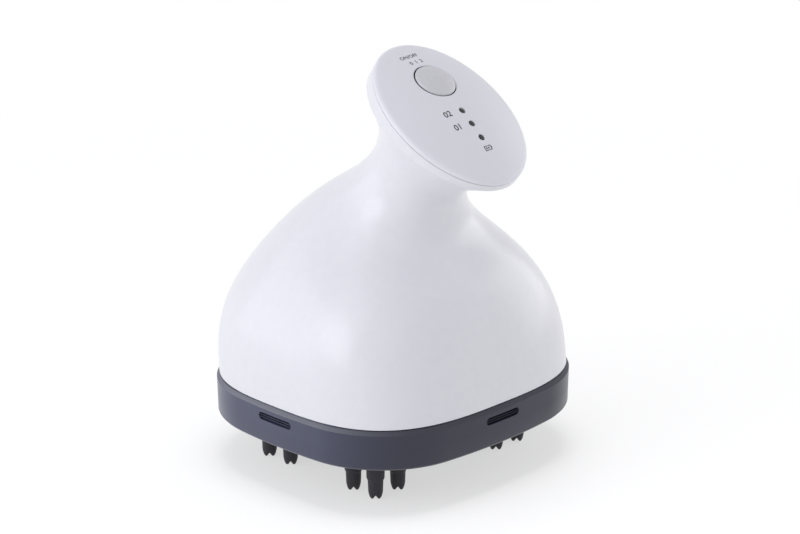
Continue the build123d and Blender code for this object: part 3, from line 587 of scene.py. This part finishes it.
def edge_place(a, inset):
    """Where a ray from the button's centre, at angle a, meets the panel's edge less the inset."""
    c, s = math.cos(a), math.sin(a)
    rx, ry = PANEL_RX - inset, PANEL_RY - inset
    qa = (c / rx) ** 2 + (s / ry) ** 2
    qb = 2 * s * BUTTON_UP / ry ** 2
    qc = (BUTTON_UP / ry) ** 2 - 1
    reach = (-qb + math.sqrt(qb ** 2 - 4 * qa * qc)) / (2 * qa)
    return Vector((reach * c, BUTTON_UP + reach * s))


def hole_place(a, radius):
    """A point at the radius from the button's axis, seen square to the head."""
    return Vector((radius * math.cos(a), BUTTON_UP + radius * math.sin(a) * math.cos(LEAN)))


def dome_ring(place, size, drop=0.0, level=None):
    """A ring laid out by edge_place or hole_place, at a drop below the dome or at a fixed level."""
    points = []
    for a in full_turn(PANEL_SIDES):
        xy = place(a, size)
        height = dome_height(xy.x, xy.y) - drop if level is None else level
        points.append(Vector((xy.x, xy.y, height)))
    return points


def between(first, last, steps, drop):
    """Rings spread from one to the other, laid on the dome at the drop."""
    spread = []
    for k in range(1, steps):
        t = k / steps
        points = []
        for p, q in zip(first, last):
            x, y = p.x + (q.x - p.x) * t, p.y + (q.y - p.y) * t
            points.append(Vector((x, y, dome_height(x, y) - drop)))
        spread.append(points)
    return spread


def edge_blend(start, corner, end, t):
    """A ring of the rolled edge: a curve that leaves the dome smoothly and ends upright."""
    points = []
    for p, q, r in zip(start, corner, end):
        points.append(p * (1 - t) ** 2 + q * 2 * t * (1 - t) + r * t ** 2)
    return points


# %% Rings from the button's hole out to the oval edge, and back underneath
rings = [dome_ring(hole_place, HOLE_R, PANEL_T), dome_ring(hole_place, HOLE_R, HOLE_ROUND)]
for out, down in rolled(4)[1:4]:
    rings.append(dome_ring(hole_place, HOLE_R + HOLE_ROUND * out, HOLE_ROUND * down))
top_start, top_end = dome_ring(hole_place, HOLE_R + HOLE_ROUND), dome_ring(edge_place, EDGE_IN)
rings += [top_start, *between(top_start, top_end, TOP_STEPS, 0), top_end]
corner, upright = dome_ring(edge_place, 0), dome_ring(edge_place, 0, level=EDGE_LOW)
for i in range(1, EDGE_STEPS + 1):
    rings.append(edge_blend(top_end, corner, upright, i / EDGE_STEPS))
painted = len(rings)
for inset, level in ((EDGE_BACK, -CAP), (SKIRT, -CAP), (SKIRT, PANEL_LOW), (SKIRT + SKIRT_T, PANEL_LOW)):
    rings.append(dome_ring(edge_place, inset, level=level))
shelf = dome_ring(edge_place, SKIRT + SKIRT_T, PANEL_T)
rings += [shelf, *between(shelf, rings[0], UNDER_STEPS, PANEL_T)]
on_head = [[HEAD_FRAME @ point for point in points] for points in rings]
unpainted = {0, *range(painted, len(rings))}
panel = to_object("panel", skin(bmesh.new(), on_head, closed=True, bare=unpainted), sharp=35)
print("rings in the panel", len(rings), "of which painted", painted)

# %% [markdown]
# Three small holes run down the panel below the button: high, low and charge. Each is cut with a
# turned cutter whose top flares, so the hole has a tiny rounded edge, and a dark lens sits just
# inside it.

# %% The indicator holes and their lenses
LENS_UP = {"high": -2.5 * MM, "low": -7.1 * MM, "charge": -11.8 * MM}
# Radius and height of the cutter's profile and of the lens's, in mm.
LENS_HOLE = ((1.0, -3.0), (1.0, -0.16), (1.05, -0.05), (1.17, 0.0), (1.6, 0.5))
LENS_CAP = ((0.98, -2.2), (0.98, -0.42), (0.8, -0.3), (0.45, -0.24), (0.1, -0.22))


def on_panel(x, y):
    """A frame that sits on the dome at (x, y), square to it, with +Y up the slope."""
    step = 0.01 * MM
    slope_x = (dome_height(x + step, y) - dome_height(x - step, y)) / (2 * step)
    slope_y = (dome_height(x, y + step) - dome_height(x, y - step)) / (2 * step)
    out = Vector((-slope_x, -slope_y, 1)).normalized()
    along = Vector((1, 0, slope_x)).normalized()
    turn = Matrix((along, out.cross(along), out)).transposed().to_4x4()
    return HEAD_FRAME @ Matrix.Translation((x, y, dome_height(x, y))) @ turn


for up in LENS_UP.values():
    cut_with(panel, to_object("lens cutter", turned(bmesh.new(), in_metres(LENS_HOLE), on_panel(0, up))))
place_piece(dress(panel, panel_grey, latch_black), "housing", "panel_grey", "control_panel")
for name, up in LENS_UP.items():
    bm = turned(bmesh.new(), in_metres(LENS_CAP), on_panel(0, up), sides=40)
    lens = to_object("indicator_" + name, bm, sharp=50)
    place_piece(dress(lens, lens_glass), "housing", "dark_lens", "lens_" + name)

# %% [markdown]
# ## The power button
#
# The button is a turned cap with a crowned top and a rounded edge, on a wider collar that keeps
# it from falling out through the panel. It is painted like the panel, with bare black sides. It is
# a piece of its own on the button's body, so it sinks when the button joint moves.

# %% The button cap
CROWN_R, CROWN, SHOULDER = 19 * MM, 0.95 * MM, 0.42 * MM
COLLAR_R, STEM_R = BUTTON_R + 1.2 * MM, 2.0 * MM
STEM_LOW, COLLAR_LOW, COLLAR_TOP, SIDE_TOP = -4.2 * MM, -3.2 * MM, -2.3 * MM, -0.5 * MM


def crown_height(r):
    """Height of the crowned top at a radius."""
    return CROWN - CROWN_R + math.sqrt(CROWN_R ** 2 - r ** 2)


profile = [(STEM_R, STEM_LOW), (STEM_R, COLLAR_LOW), (COLLAR_R, COLLAR_LOW), (COLLAR_R, COLLAR_TOP),
           (BUTTON_R, COLLAR_TOP), (BUTTON_R, SIDE_TOP)]
bare_sides = range(len(profile) - 1)
for back, down in rolled(5)[1:]:
    r = BUTTON_R - SHOULDER * back
    profile.append((r, crown_height(r) - SHOULDER * down))
for share in (0.85, 0.74, 0.62, 0.48, 0.34, 0.2, 0.08, 0.01):
    profile.append((BUTTON_R * share, crown_height(BUTTON_R * share)))
bm = turned(bmesh.new(), profile, BUTTON_FRAME, sides=96, bare=bare_sides)
button = to_object("button_cap", bm, sharp=40)
place_piece(dress(button, button_grey, latch_black), "button", "button_grey", "power_button")

# %% [markdown]
# ## Marks on the panel
#
# Such a panel is pad-printed: thin marks a few hundredths of a millimetre thick that follow the
# dome. Plain ones are used here: ON/OFF and the numbers 0, 1 and 2 above the button, 02 and 01
# beside the speed lights, and a small battery beside the charge light. Each mark is a flat mesh,
# cut into triangles, whose points are laid on the dome.

# %% How print follows the dome
INK = 0.012 * MM
LETTER_OFFSET = 0.018


def lay_on_dome(piece, x, y, size):
    """Move a flat mesh onto the dome, centred at (x, y), and give it a printed thickness."""
    bm = bmesh.new()
    bm.from_mesh(piece.data)
    bmesh.ops.triangulate(bm, faces=bm.faces)
    xs, ys = [v.co.x for v in bm.verts], [v.co.y for v in bm.verts]
    centre = Vector(((min(xs) + max(xs)) / 2, (min(ys) + max(ys)) / 2))
    scale = size / (max(ys) - min(ys))
    doubled = bmesh.ops.extrude_face_region(bm, geom=bm.faces[:])
    tops = {v for v in doubled["geom"] if isinstance(v, bmesh.types.BMVert)}
    for v in bm.verts:
        flat = (Vector((v.co.x, v.co.y)) - centre) * scale
        u, w = x + flat.x, y + flat.y
        v.co = HEAD_FRAME @ Vector((u, w, dome_height(u, w) + (INK if v in tops else -INK)))
    name = piece.name
    bpy.data.objects.remove(piece)
    return to_object(name, bm, sharp=30)


def text_mesh(name, words):
    """A word or number in the plain built-in letter shape, as a mesh."""
    curve = bpy.data.curves.new(name, "FONT")
    curve.body = words
    curve.offset = LETTER_OFFSET
    curve.resolution_u = 4
    holder = put(name + " curve", curve)
    mesh = applied_mesh(holder)
    bpy.data.objects.remove(holder)
    return put(name, mesh)


def flat_bars(name, bars):
    """A flat shape made of bars, each given by two corners."""
    bm = bmesh.new()
    for x0, y0, x1, y1 in bars:
        corners = [(x0, y0), (x1, y0), (x1, y1), (x0, y1)]
        bm.faces.new([bm.verts.new((x, y, 0)) for x, y in corners])
    mesh = bpy.data.meshes.new(name)
    bm.to_mesh(mesh)
    bm.free()
    return put(name, mesh)


# %% The marks
# The four sides of a battery, its pole and two bars of charge.
BATTERY = (
    (0, 0, 10, 1), (0, 5, 10, 6), (0, 1, 1, 5), (9, 1, 10, 5), (10, 2, 11, 4), (2, 2, 4, 4), (5, 2, 7, 4),
)
# Each flat mark, then its place on the head and its height, in mm.
MARKS = (
    (text_mesh("mark_power", "ON/OFF"), -0.4, 20.0, 1.3),
    (text_mesh("mark_speed", "0  1  2"), 0.0, 17.4, 1.3),
    (text_mesh("mark_high", "02"), -5.3, -2.2, 1.9),
    (text_mesh("mark_low", "01"), -5.3, -6.85, 1.9),
    (flat_bars("mark_charge", BATTERY), -0.1, -15.3, 1.5),
)
for flat_mark, x, y, size in MARKS:
    mark = lay_on_dome(flat_mark, x * MM, y * MM, size * MM)
    place_piece(dress(mark, print_ink), "housing", "black_plastic")

# %% [markdown]
# ## The massage heads
#
# Each head is a soft claw: a disc that carries four fingers. A finger has a wide upper part, a
# step, and a slimmer end with four small nubs that press on the scalp. Each ring of the end has a
# place on a nub and a place in a notch, and the ring swings between the two as it goes round.
# Geometry Nodes then set the finger out round the disc: a circle of points, the finger placed on
# each and turned to face outwards, and everything made real.

# %% One finger
FINGER_SIDES, NUBS, NUB_WIDTH = 48, 4, 0.6
# Radius and height of each ring in mm: on a nub and in a notch first, then all round.
NUB_RINGS = (
    ((0.3, 1.0), (0.3, 1.2)), ((0.75, 0.36), (0.75, 1.18)), ((1.1, 0.04), (1.1, 1.14)),
    ((1.4, 0.0), (1.36, 1.12)), ((1.68, 0.16), (1.58, 1.14)), ((1.88, 0.55), (1.76, 1.24)),
    ((1.99, 1.1), (1.92, 1.5)),
)
FINGER = (
    (2.04, 1.9), (2.09, 3.4), (2.15, 5.05), (2.2, 5.3), (2.44, 5.8), (2.5, 6.1), (2.53, 7.5), (2.6, 10.5),
    (2.68, 13.2), (2.95, 13.75), (3.3, 13.95),
)


def finger_rings():
    """Rings of one finger. The lowest ones rise and fall four times round: the nubs."""
    made = []
    for nub, notch in (*NUB_RINGS, *zip(FINGER, FINGER)):
        points = []
        for a in full_turn(FINGER_SIDES):
            share = (0.5 - 0.5 * math.cos(NUBS * a)) ** NUB_WIDTH
            r, z = notch[0] + (nub[0] - notch[0]) * share, notch[1] + (nub[1] - notch[1]) * share
            points.append(Vector((r * math.cos(a), r * math.sin(a), z)) * MM)
        made.append(points)
    return made


finger = to_object("finger pattern", skin(bmesh.new(), finger_rings(), caps=(True, True)), sharp=60)
print("finger faces", len(finger.data.polygons))


# %% The node tree that sets the fingers out
def new_tree(name, inputs):
    """A Geometry Nodes tree with the named inputs and its two end nodes."""
    tree = bpy.data.node_groups.new(name, "GeometryNodeTree")
    for label, kind in inputs.items():
        tree.interface.new_socket(label, in_out="INPUT", socket_type="NodeSocket" + kind)
    tree.interface.new_socket("Geometry", in_out="OUTPUT", socket_type="NodeSocketGeometry")
    return tree, new_node(tree, "NodeGroupInput"), new_node(tree, "NodeGroupOutput")


def finger_tree():
    """Geometry Nodes: copies of the incoming finger on a circle, turned outwards, then joined."""
    tree, source, sink = new_tree("fingers round a disc", {
        "Finger": "Geometry", "Count": "Int", "Ring radius": "Float", "First angle": "Float",
        "Finish": "Material",
    })
    circle = new_node(tree, "GeometryNodeMeshCircle")
    to_points = new_node(tree, "GeometryNodeInstanceOnPoints")
    index = new_node(tree, "GeometryNodeInputIndex")
    share = new_node(tree, "ShaderNodeMath", operation="DIVIDE")
    full = new_node(tree, "ShaderNodeMath", operation="MULTIPLY")
    full.inputs[1].default_value = 2 * math.pi
    turn = new_node(tree, "ShaderNodeCombineXYZ")
    real = new_node(tree, "GeometryNodeRealizeInstances")
    first = new_node(tree, "ShaderNodeCombineXYZ")
    spin = new_node(tree, "GeometryNodeTransform")
    coat = new_node(tree, "GeometryNodeSetMaterial")
    wire(tree, (source, "Count", circle, "Vertices"), (source, "Ring radius", circle, "Radius"),
         (circle, "Mesh", to_points, "Points"), (source, "Finger", to_points, "Instance"),
         (index, "Index", share, 0), (source, "Count", share, 1), (share, "Value", full, 0),
         (full, "Value", turn, "Z"), (turn, "Vector", to_points, "Rotation"),
         (to_points, "Instances", real, "Geometry"), (real, "Geometry", spin, "Geometry"),
         (source, "First angle", first, "Z"), (first, "Vector", spin, "Rotation"),
         (spin, "Geometry", coat, "Geometry"), (source, "Finish", coat, "Material"),
         (coat, "Geometry", sink, "Geometry"))
    return tree


# %% Four fingers
def grown(name, pattern, tree, settings):
    """Run a node tree on a pattern mesh and return its result as a plain mesh object."""
    holder = put(name, pattern.data.copy())
    step = holder.modifiers.new("nodes", "NODES")
    step.node_group = tree
    sockets = {s.name: s.identifier for s in tree.interface.items_tree if s.in_out == "INPUT"}
    for label, value in settings.items():
        step[sockets[label]] = value
    mesh = applied_mesh(holder)
    holder.modifiers.clear()
    holder.data = mesh
    return holder


finger_settings = {"Count": 4, "Ring radius": 6.1 * MM, "First angle": math.pi / 4, "Finish": silicone}
four_fingers = grown("four fingers", finger, finger_tree(), finger_settings)
print("four fingers", len(four_fingers.data.polygons), "faces")

# %% [markdown]
# The disc is turned like the button, with a rounded rim and a hole for the screw that holds the
# claw to its hub. The four claws share the same pattern, each moved to its own shaft.

# %% Four claws
DISC_SIDES = 96
# Radius and height of the disc's section, in mm.
DISC = (
    (2.6, 13.9), (8.8, 13.9), (9.15, 13.98), (9.34, 14.2), (9.4, 14.5), (9.4, 16.2), (9.2, 16.6),
    (8.6, 16.6), (8.6, 15.2), (2.6, 15.2),
)
for i in range(1, 5):
    hub_low, hub_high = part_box("hub_%d" % i)
    shaft = Vector(((hub_low.x + hub_high.x) / 2, (hub_low.y + hub_high.y) / 2, 0))
    bm = turned(bmesh.new(), in_metres(DISC), sides=DISC_SIDES, closed=True)
    bm.from_mesh(four_fingers.data)
    for v in bm.verts:
        v.co += shaft
    claw = to_object("claw_soft_%d" % i, bm, sharp=50)
    place_piece(dress(claw, silicone), "head_%d" % i, "claw_silicone", "claw_%d" % i)
for pattern in (finger, four_fingers):
    bpy.data.objects.remove(pattern)

# %% [markdown]
# ## The port plug
#
# At the back a silicone plug closes the charging inlet. Its flange lies in the round spot face of
# the housing, a hollow stem grips the inlet, and a small tab below gives a fingernail something to
# pull. Every edge of soft rubber is rounded, so the flange is turned from an arc.

# %% The plug, turned about the inlet's axis
FLANGE_R, FLANGE_T, ROLL, SPOT_GAP = 5.1 * MM, 1.5 * MM, 0.45 * MM, 0.05 * MM
SPIGOT_R, STEM_OUT, STEM_IN = 3.1 * MM, 1.65 * MM, 0.75 * MM
STEM_L, BORE_L, TIP_IN, TIP_UP = 4.6 * MM, 4.0 * MM, 0.15 * MM, 0.2 * MM
# Radius and depth of a fine groove in the flange's face, in mm.
GROOVE = ((3.9, 0.0), (3.75, 0.12), (3.5, 0.12), (3.35, 0.0), (0.5, 0.0))
stem_end = plug_low.y - spot_y
stem_root = stem_end + STEM_L
plug_profile = [(STEM_IN, stem_end + BORE_L), (STEM_IN, stem_end), (STEM_OUT - TIP_IN, stem_end),
                (STEM_OUT, stem_end + TIP_UP), (STEM_OUT, stem_root), (SPIGOT_R, stem_root),
                (SPIGOT_R, SPOT_GAP), (FLANGE_R, SPOT_GAP)]
plug_profile += [(FLANGE_R - ROLL * back, FLANGE_T - ROLL * down) for back, down in rolled(5)]
plug_profile += [(r, FLANGE_T - deep) for r, deep in in_metres(GROOVE)]
bm = turned(bmesh.new(), plug_profile, facing_back, sides=64)

TAB_HALF, TAB_R, TAB_Z, TAB_SIDES = 2.2 * MM, 0.8 * MM, PORT_Z - 3.6 * MM, 32
# How far out each ring of the tab stands and how much it shrinks there, in mm.
TAB_RINGS = ((-0.3, 0.0), (0.8, 0.0), (1.08, 0.12), (1.2, 0.4))
tab = []
for out, shrink in in_metres(TAB_RINGS):
    points = []
    for a in full_turn(TAB_SIDES):
        x = math.copysign(TAB_HALF - TAB_R, math.cos(a)) + (TAB_R - shrink) * math.cos(a)
        points.append(Vector((x, spot_y + FLANGE_T + out, TAB_Z + (TAB_R - shrink) * math.sin(a))))
    tab.append(points)
plug = to_object("plug_soft", skin(bm, tab, caps=(True, True)), sharp=40)
place_piece(dress(plug, by_slot["seal_silicone"]), "plug", "seal_silicone", "port_plug")

# %% [markdown]
# ## Screws under the base
#
# The bottom cover is held by four small screws that sit in recesses. One head is turned with a
# rounded rim, and a cross is cut into it with two thin wedges. A second node tree then sets the
# head out on an oval of points, one for each screw.

# %% One cross-recess head
SCREW_R, SCREW_T, SHANK_R, SHANK_L = 2.2 * MM, 1.1 * MM, 1.15 * MM, 4.3 * MM
RIM_ROUND, CROWN_FLAT, CROWN_RISE = 0.3 * MM, 0.3 * MM, 0.02 * MM
# Half length, half width and height of each ring of the wedge, in mm.
WEDGE = ((0.55, 0.14, 0.45), (1.15, 0.26, 1.05), (1.2, 0.28, 1.6))
facing_down = Matrix.Rotation(math.pi, 4, "X")
rim = [(SHANK_R, -SHANK_L), (SHANK_R, 0.0), (SCREW_R, 0.0)]
rim += [(SCREW_R - RIM_ROUND * back, SCREW_T - RIM_ROUND * down) for back, down in rolled(4)]
rim.append((CROWN_FLAT, SCREW_T + CROWN_RISE))
screw_head = to_object("screw pattern", turned(bmesh.new(), rim, facing_down, sides=40), sharp=35)
for k in range(2):
    turn = facing_down @ Matrix.Rotation(k * math.pi / 2, 4, "Z")
    wedge = []
    for wide, thin, height in WEDGE:
        corners = ((-wide, -thin), (wide, -thin), (wide, thin), (-wide, thin))
        wedge.append([turn @ Vector((x, y, height)) * MM for x, y in corners])
    cut_with(screw_head, to_object("cross", skin(bmesh.new(), wedge, caps=(True, True)), sharp=20))
print("screw head", len(screw_head.data.polygons), "faces")


# %% Set out on an oval
def oval_tree():
    """Geometry Nodes: copies of the incoming piece on an oval of points, then made real."""
    tree, source, sink = new_tree("pieces on an oval", {
        "Piece": "Geometry", "Count": "Int", "Half spans": "Vector", "Centre": "Vector",
        "Finish": "Material",
    })
    circle = preset(new_node(tree, "GeometryNodeMeshCircle"), Radius=1.0)
    stretch = new_node(tree, "GeometryNodeTransform")
    to_points = new_node(tree, "GeometryNodeInstanceOnPoints")
    real = new_node(tree, "GeometryNodeRealizeInstances")
    coat = new_node(tree, "GeometryNodeSetMaterial")
    wire(tree, (source, "Count", circle, "Vertices"), (circle, "Mesh", stretch, "Geometry"),
         (source, "Half spans", stretch, "Scale"), (source, "Centre", stretch, "Translation"),
         (stretch, "Geometry", to_points, "Points"), (source, "Piece", to_points, "Instance"),
         (to_points, "Instances", real, "Geometry"), (real, "Geometry", coat, "Geometry"),
         (source, "Finish", coat, "Material"), (coat, "Geometry", sink, "Geometry"))
    return tree


COVER_LOW, SCREW_IN_X, SCREW_IN_Y = 14.6 * MM, 16.0 * MM, 20.5 * MM
screw_settings = {
    "Count": 4, "Half spans": (BASE_HX - SCREW_IN_X, BASE_HY - SCREW_IN_Y, 1.0),
    "Centre": (0.0, MID_Y, COVER_LOW + SCREW_T), "Finish": by_slot["steel"],
}
screws = grown("screws_under_cover", screw_head, oval_tree(), screw_settings)
bpy.data.objects.remove(screw_head)
place_piece(screws, "housing", "steel", "cover_screws")

# %% [markdown]
# ## The camera
#
# A long lens from about ten base widths away keeps the sides of the base nearly parallel, as
# product pictures do. The camera stands to the front left, twenty degrees above the horizon.

# %% Camera
VIEW_TURN, VIEW_RISE, VIEW_ROLL = math.radians(-45.077), math.radians(19.969), math.radians(-0.209)
DISTANCE, PIXELS_PER_M, FRAME_WIDTH = 0.92195, 3589.74, 800
AIM_RIGHT, AIM_UP = 1.961 * MM, 54.413 * MM
level = math.cos(VIEW_RISE)
back = Vector((math.sin(VIEW_TURN) * level, -math.cos(VIEW_TURN) * level, math.sin(VIEW_RISE)))
right = Vector((math.cos(VIEW_TURN), math.sin(VIEW_TURN), 0))
up = back.cross(right)
right_rolled = right * math.cos(VIEW_ROLL) + up * math.sin(VIEW_ROLL)
up_rolled = up * math.cos(VIEW_ROLL) - right * math.sin(VIEW_ROLL)
target = right * AIM_RIGHT + Vector((0, MID_Y, AIM_UP))
optics = bpy.data.cameras.new("camera")
optics.sensor_width, optics.sensor_fit = 36.0, "HORIZONTAL"
optics.lens = PIXELS_PER_M * DISTANCE * optics.sensor_width / FRAME_WIDTH
optics.clip_start, optics.clip_end = 0.05, 20.0
camera = put("camera", optics)
turn = Matrix((right_rolled, up_rolled, back)).transposed().to_4x4()
camera.matrix_world = Matrix.Translation(target + back * DISTANCE) @ turn
bpy.context.scene.camera = camera
print("lens", round(optics.lens, 1), "mm at", round(DISTANCE, 3), "m")

# %% [markdown]
# ## Floor, backdrop and light
#
# The floor is plain and pale. It shows nearly white to the camera and turns to white further out,
# while the object's soft shadow still darkens it near the base. Floor and backdrop look white to
# what sees them directly or in a reflection, and throw less light on the object than they show.


# %% The floor
def seen_directly(tree):
    """A node that gives 1 to camera, glossy and transmission rays, and 0 to all other light."""
    path = new_node(tree, "ShaderNodeLightPath")
    two = new_node(tree, "ShaderNodeMath", operation="MAXIMUM")
    three = new_node(tree, "ShaderNodeMath", operation="MAXIMUM")
    wire(tree, (path, "Is Camera Ray", two, 0), (path, "Is Glossy Ray", two, 1),
         (two, "Value", three, 0), (path, "Is Transmission Ray", three, 1))
    return three


def white_to_camera(name, pale, thrown_back, shade, near, far):
    """A floor that is pale to the camera, throws less light back, and turns to white further out."""
    made = bpy.data.materials.new(name)
    made.use_nodes = True
    tree = made.node_tree
    shader = preset(tree.nodes["Principled BSDF"], Roughness=0.9)
    glow = preset(new_node(tree, "ShaderNodeEmission"), Color=(1, 1, 1, 1), Strength=1.0)
    path = new_node(tree, "ShaderNodeLightPath")
    tone = preset(new_node(tree, "ShaderNodeMapRange"), To_Min=thrown_back, To_Max=pale)
    where = new_node(tree, "ShaderNodeTexCoord")
    reach = new_node(tree, "ShaderNodeVectorMath", operation="LENGTH")
    whiter = new_node(tree, "ShaderNodeMapRange", interpolation_type="SMOOTHSTEP")
    preset(whiter, From_Min=near, From_Max=far, To_Min=shade, To_Max=1.0)
    share = new_node(tree, "ShaderNodeMath", operation="MULTIPLY")
    mix = new_node(tree, "ShaderNodeMixShader")
    wire(tree, (path, "Is Camera Ray", tone, "Value"), (tone, "Result", shader, "Base Color"),
         (where, "Object", reach, 0), (reach, "Value", whiter, "Value"),
         (seen_directly(tree), "Value", share, 0), (whiter, "Result", share, 1),
         (share, "Value", mix, "Fac"), (shader, "BSDF", mix, 1), (glow, "Emission", mix, 2),
         (mix, "Shader", tree.nodes["Material Output"], "Surface"))
    return made


FLOOR_HALF = 3.0
floor = flat_bars("floor", [(-FLOOR_HALF, -FLOOR_HALF, FLOOR_HALF, FLOOR_HALF)])
floor_paint = white_to_camera("floor", pale=0.9, thrown_back=0.7, shade=0.6, near=0.07, far=0.4)
floor.data.materials.append(floor_paint)
print("floor", 2 * FLOOR_HALF, "m wide")

# %% The backdrop
scene = bpy.context.scene
scene.view_settings.view_transform = "Standard"
world = bpy.data.worlds.new("studio")
scene.world = world
world.use_nodes = True
tree = world.node_tree
ambient = preset(tree.nodes["Background"], Color=(0.94, 0.95, 1.0, 1), Strength=0.49)
plain = preset(new_node(tree, "ShaderNodeBackground"), Color=(1, 1, 1, 1), Strength=1.0)
mix = new_node(tree, "ShaderNodeMixShader")
wire(tree, (seen_directly(tree), "Value", mix, "Fac"), (ambient, "Background", mix, 1),
     (plain, "Background", mix, 2), (mix, "Shader", tree.nodes["World Output"], "Surface"))
print("backdrop nodes", len(tree.nodes))

# %% [markdown]
# Three soft lamps stand at the left, slightly cool, so the left of the housing is bright and the
# right of it falls into a soft grey. Weak ones above and in front fill in, and one behind on the
# right lifts the far edge. Two more reach some things only: a wash from straight above whitens the
# floor and keeps its shadow short, and a card low on the left gives the dark ring its sheen.

# %% Lamps
AIM_POINT = Vector((0, 0, 60 * MM))


def lamp(name, place, size, power, colour=(1, 1, 1), only=None):
    """A square soft lamp that faces the middle of the object, and may light the given things only."""
    light = bpy.data.lights.new(name, "AREA")
    light.shape, light.size, light.energy, light.color = "SQUARE", size, power, colour
    made = put(name, light)
    aim = (AIM_POINT - place).to_track_quat("-Z", "Y")
    made.matrix_world = Matrix.Translation(place) @ aim.to_matrix().to_4x4()
    if only:
        group = bpy.data.collections.new(name + " lights this")
        for thing in only:
            group.objects.link(thing)
        made.light_linking.receiver_collection = group


left, rise, cool = -right, Vector((0, 0, 1)), (0.93, 0.945, 1.0)
lamp("left front", left * 0.7 + back * 0.55 + rise * 0.3, 0.5, 1.85, cool)
lamp("left wall", left * 0.8 + rise * 0.3, 0.6, 1.0, cool)
lamp("left high", left * 0.45 + back * 0.45 + rise * 0.75, 0.6, 0.85, cool)
lamp("top", Vector((0, 0.1, 1.0)), 0.8, 0.25)
lamp("front", back * 0.9 + right * 0.25 + rise * 0.5, 0.6, 0.31)
lamp("back right", right * 0.85 - back * 0.5 + rise * 0.4, 0.8, 2.55)
lamp("floor wash", rise * 1.1, 0.5, 5.7, only=[floor])
lamp("ring card", left + back * 0.1 + rise * 0.12, 0.5, 23.0, (0.96, 1.0, 0.97), only=[ring, slot_ribs])
print("lamps", len(bpy.data.lights))
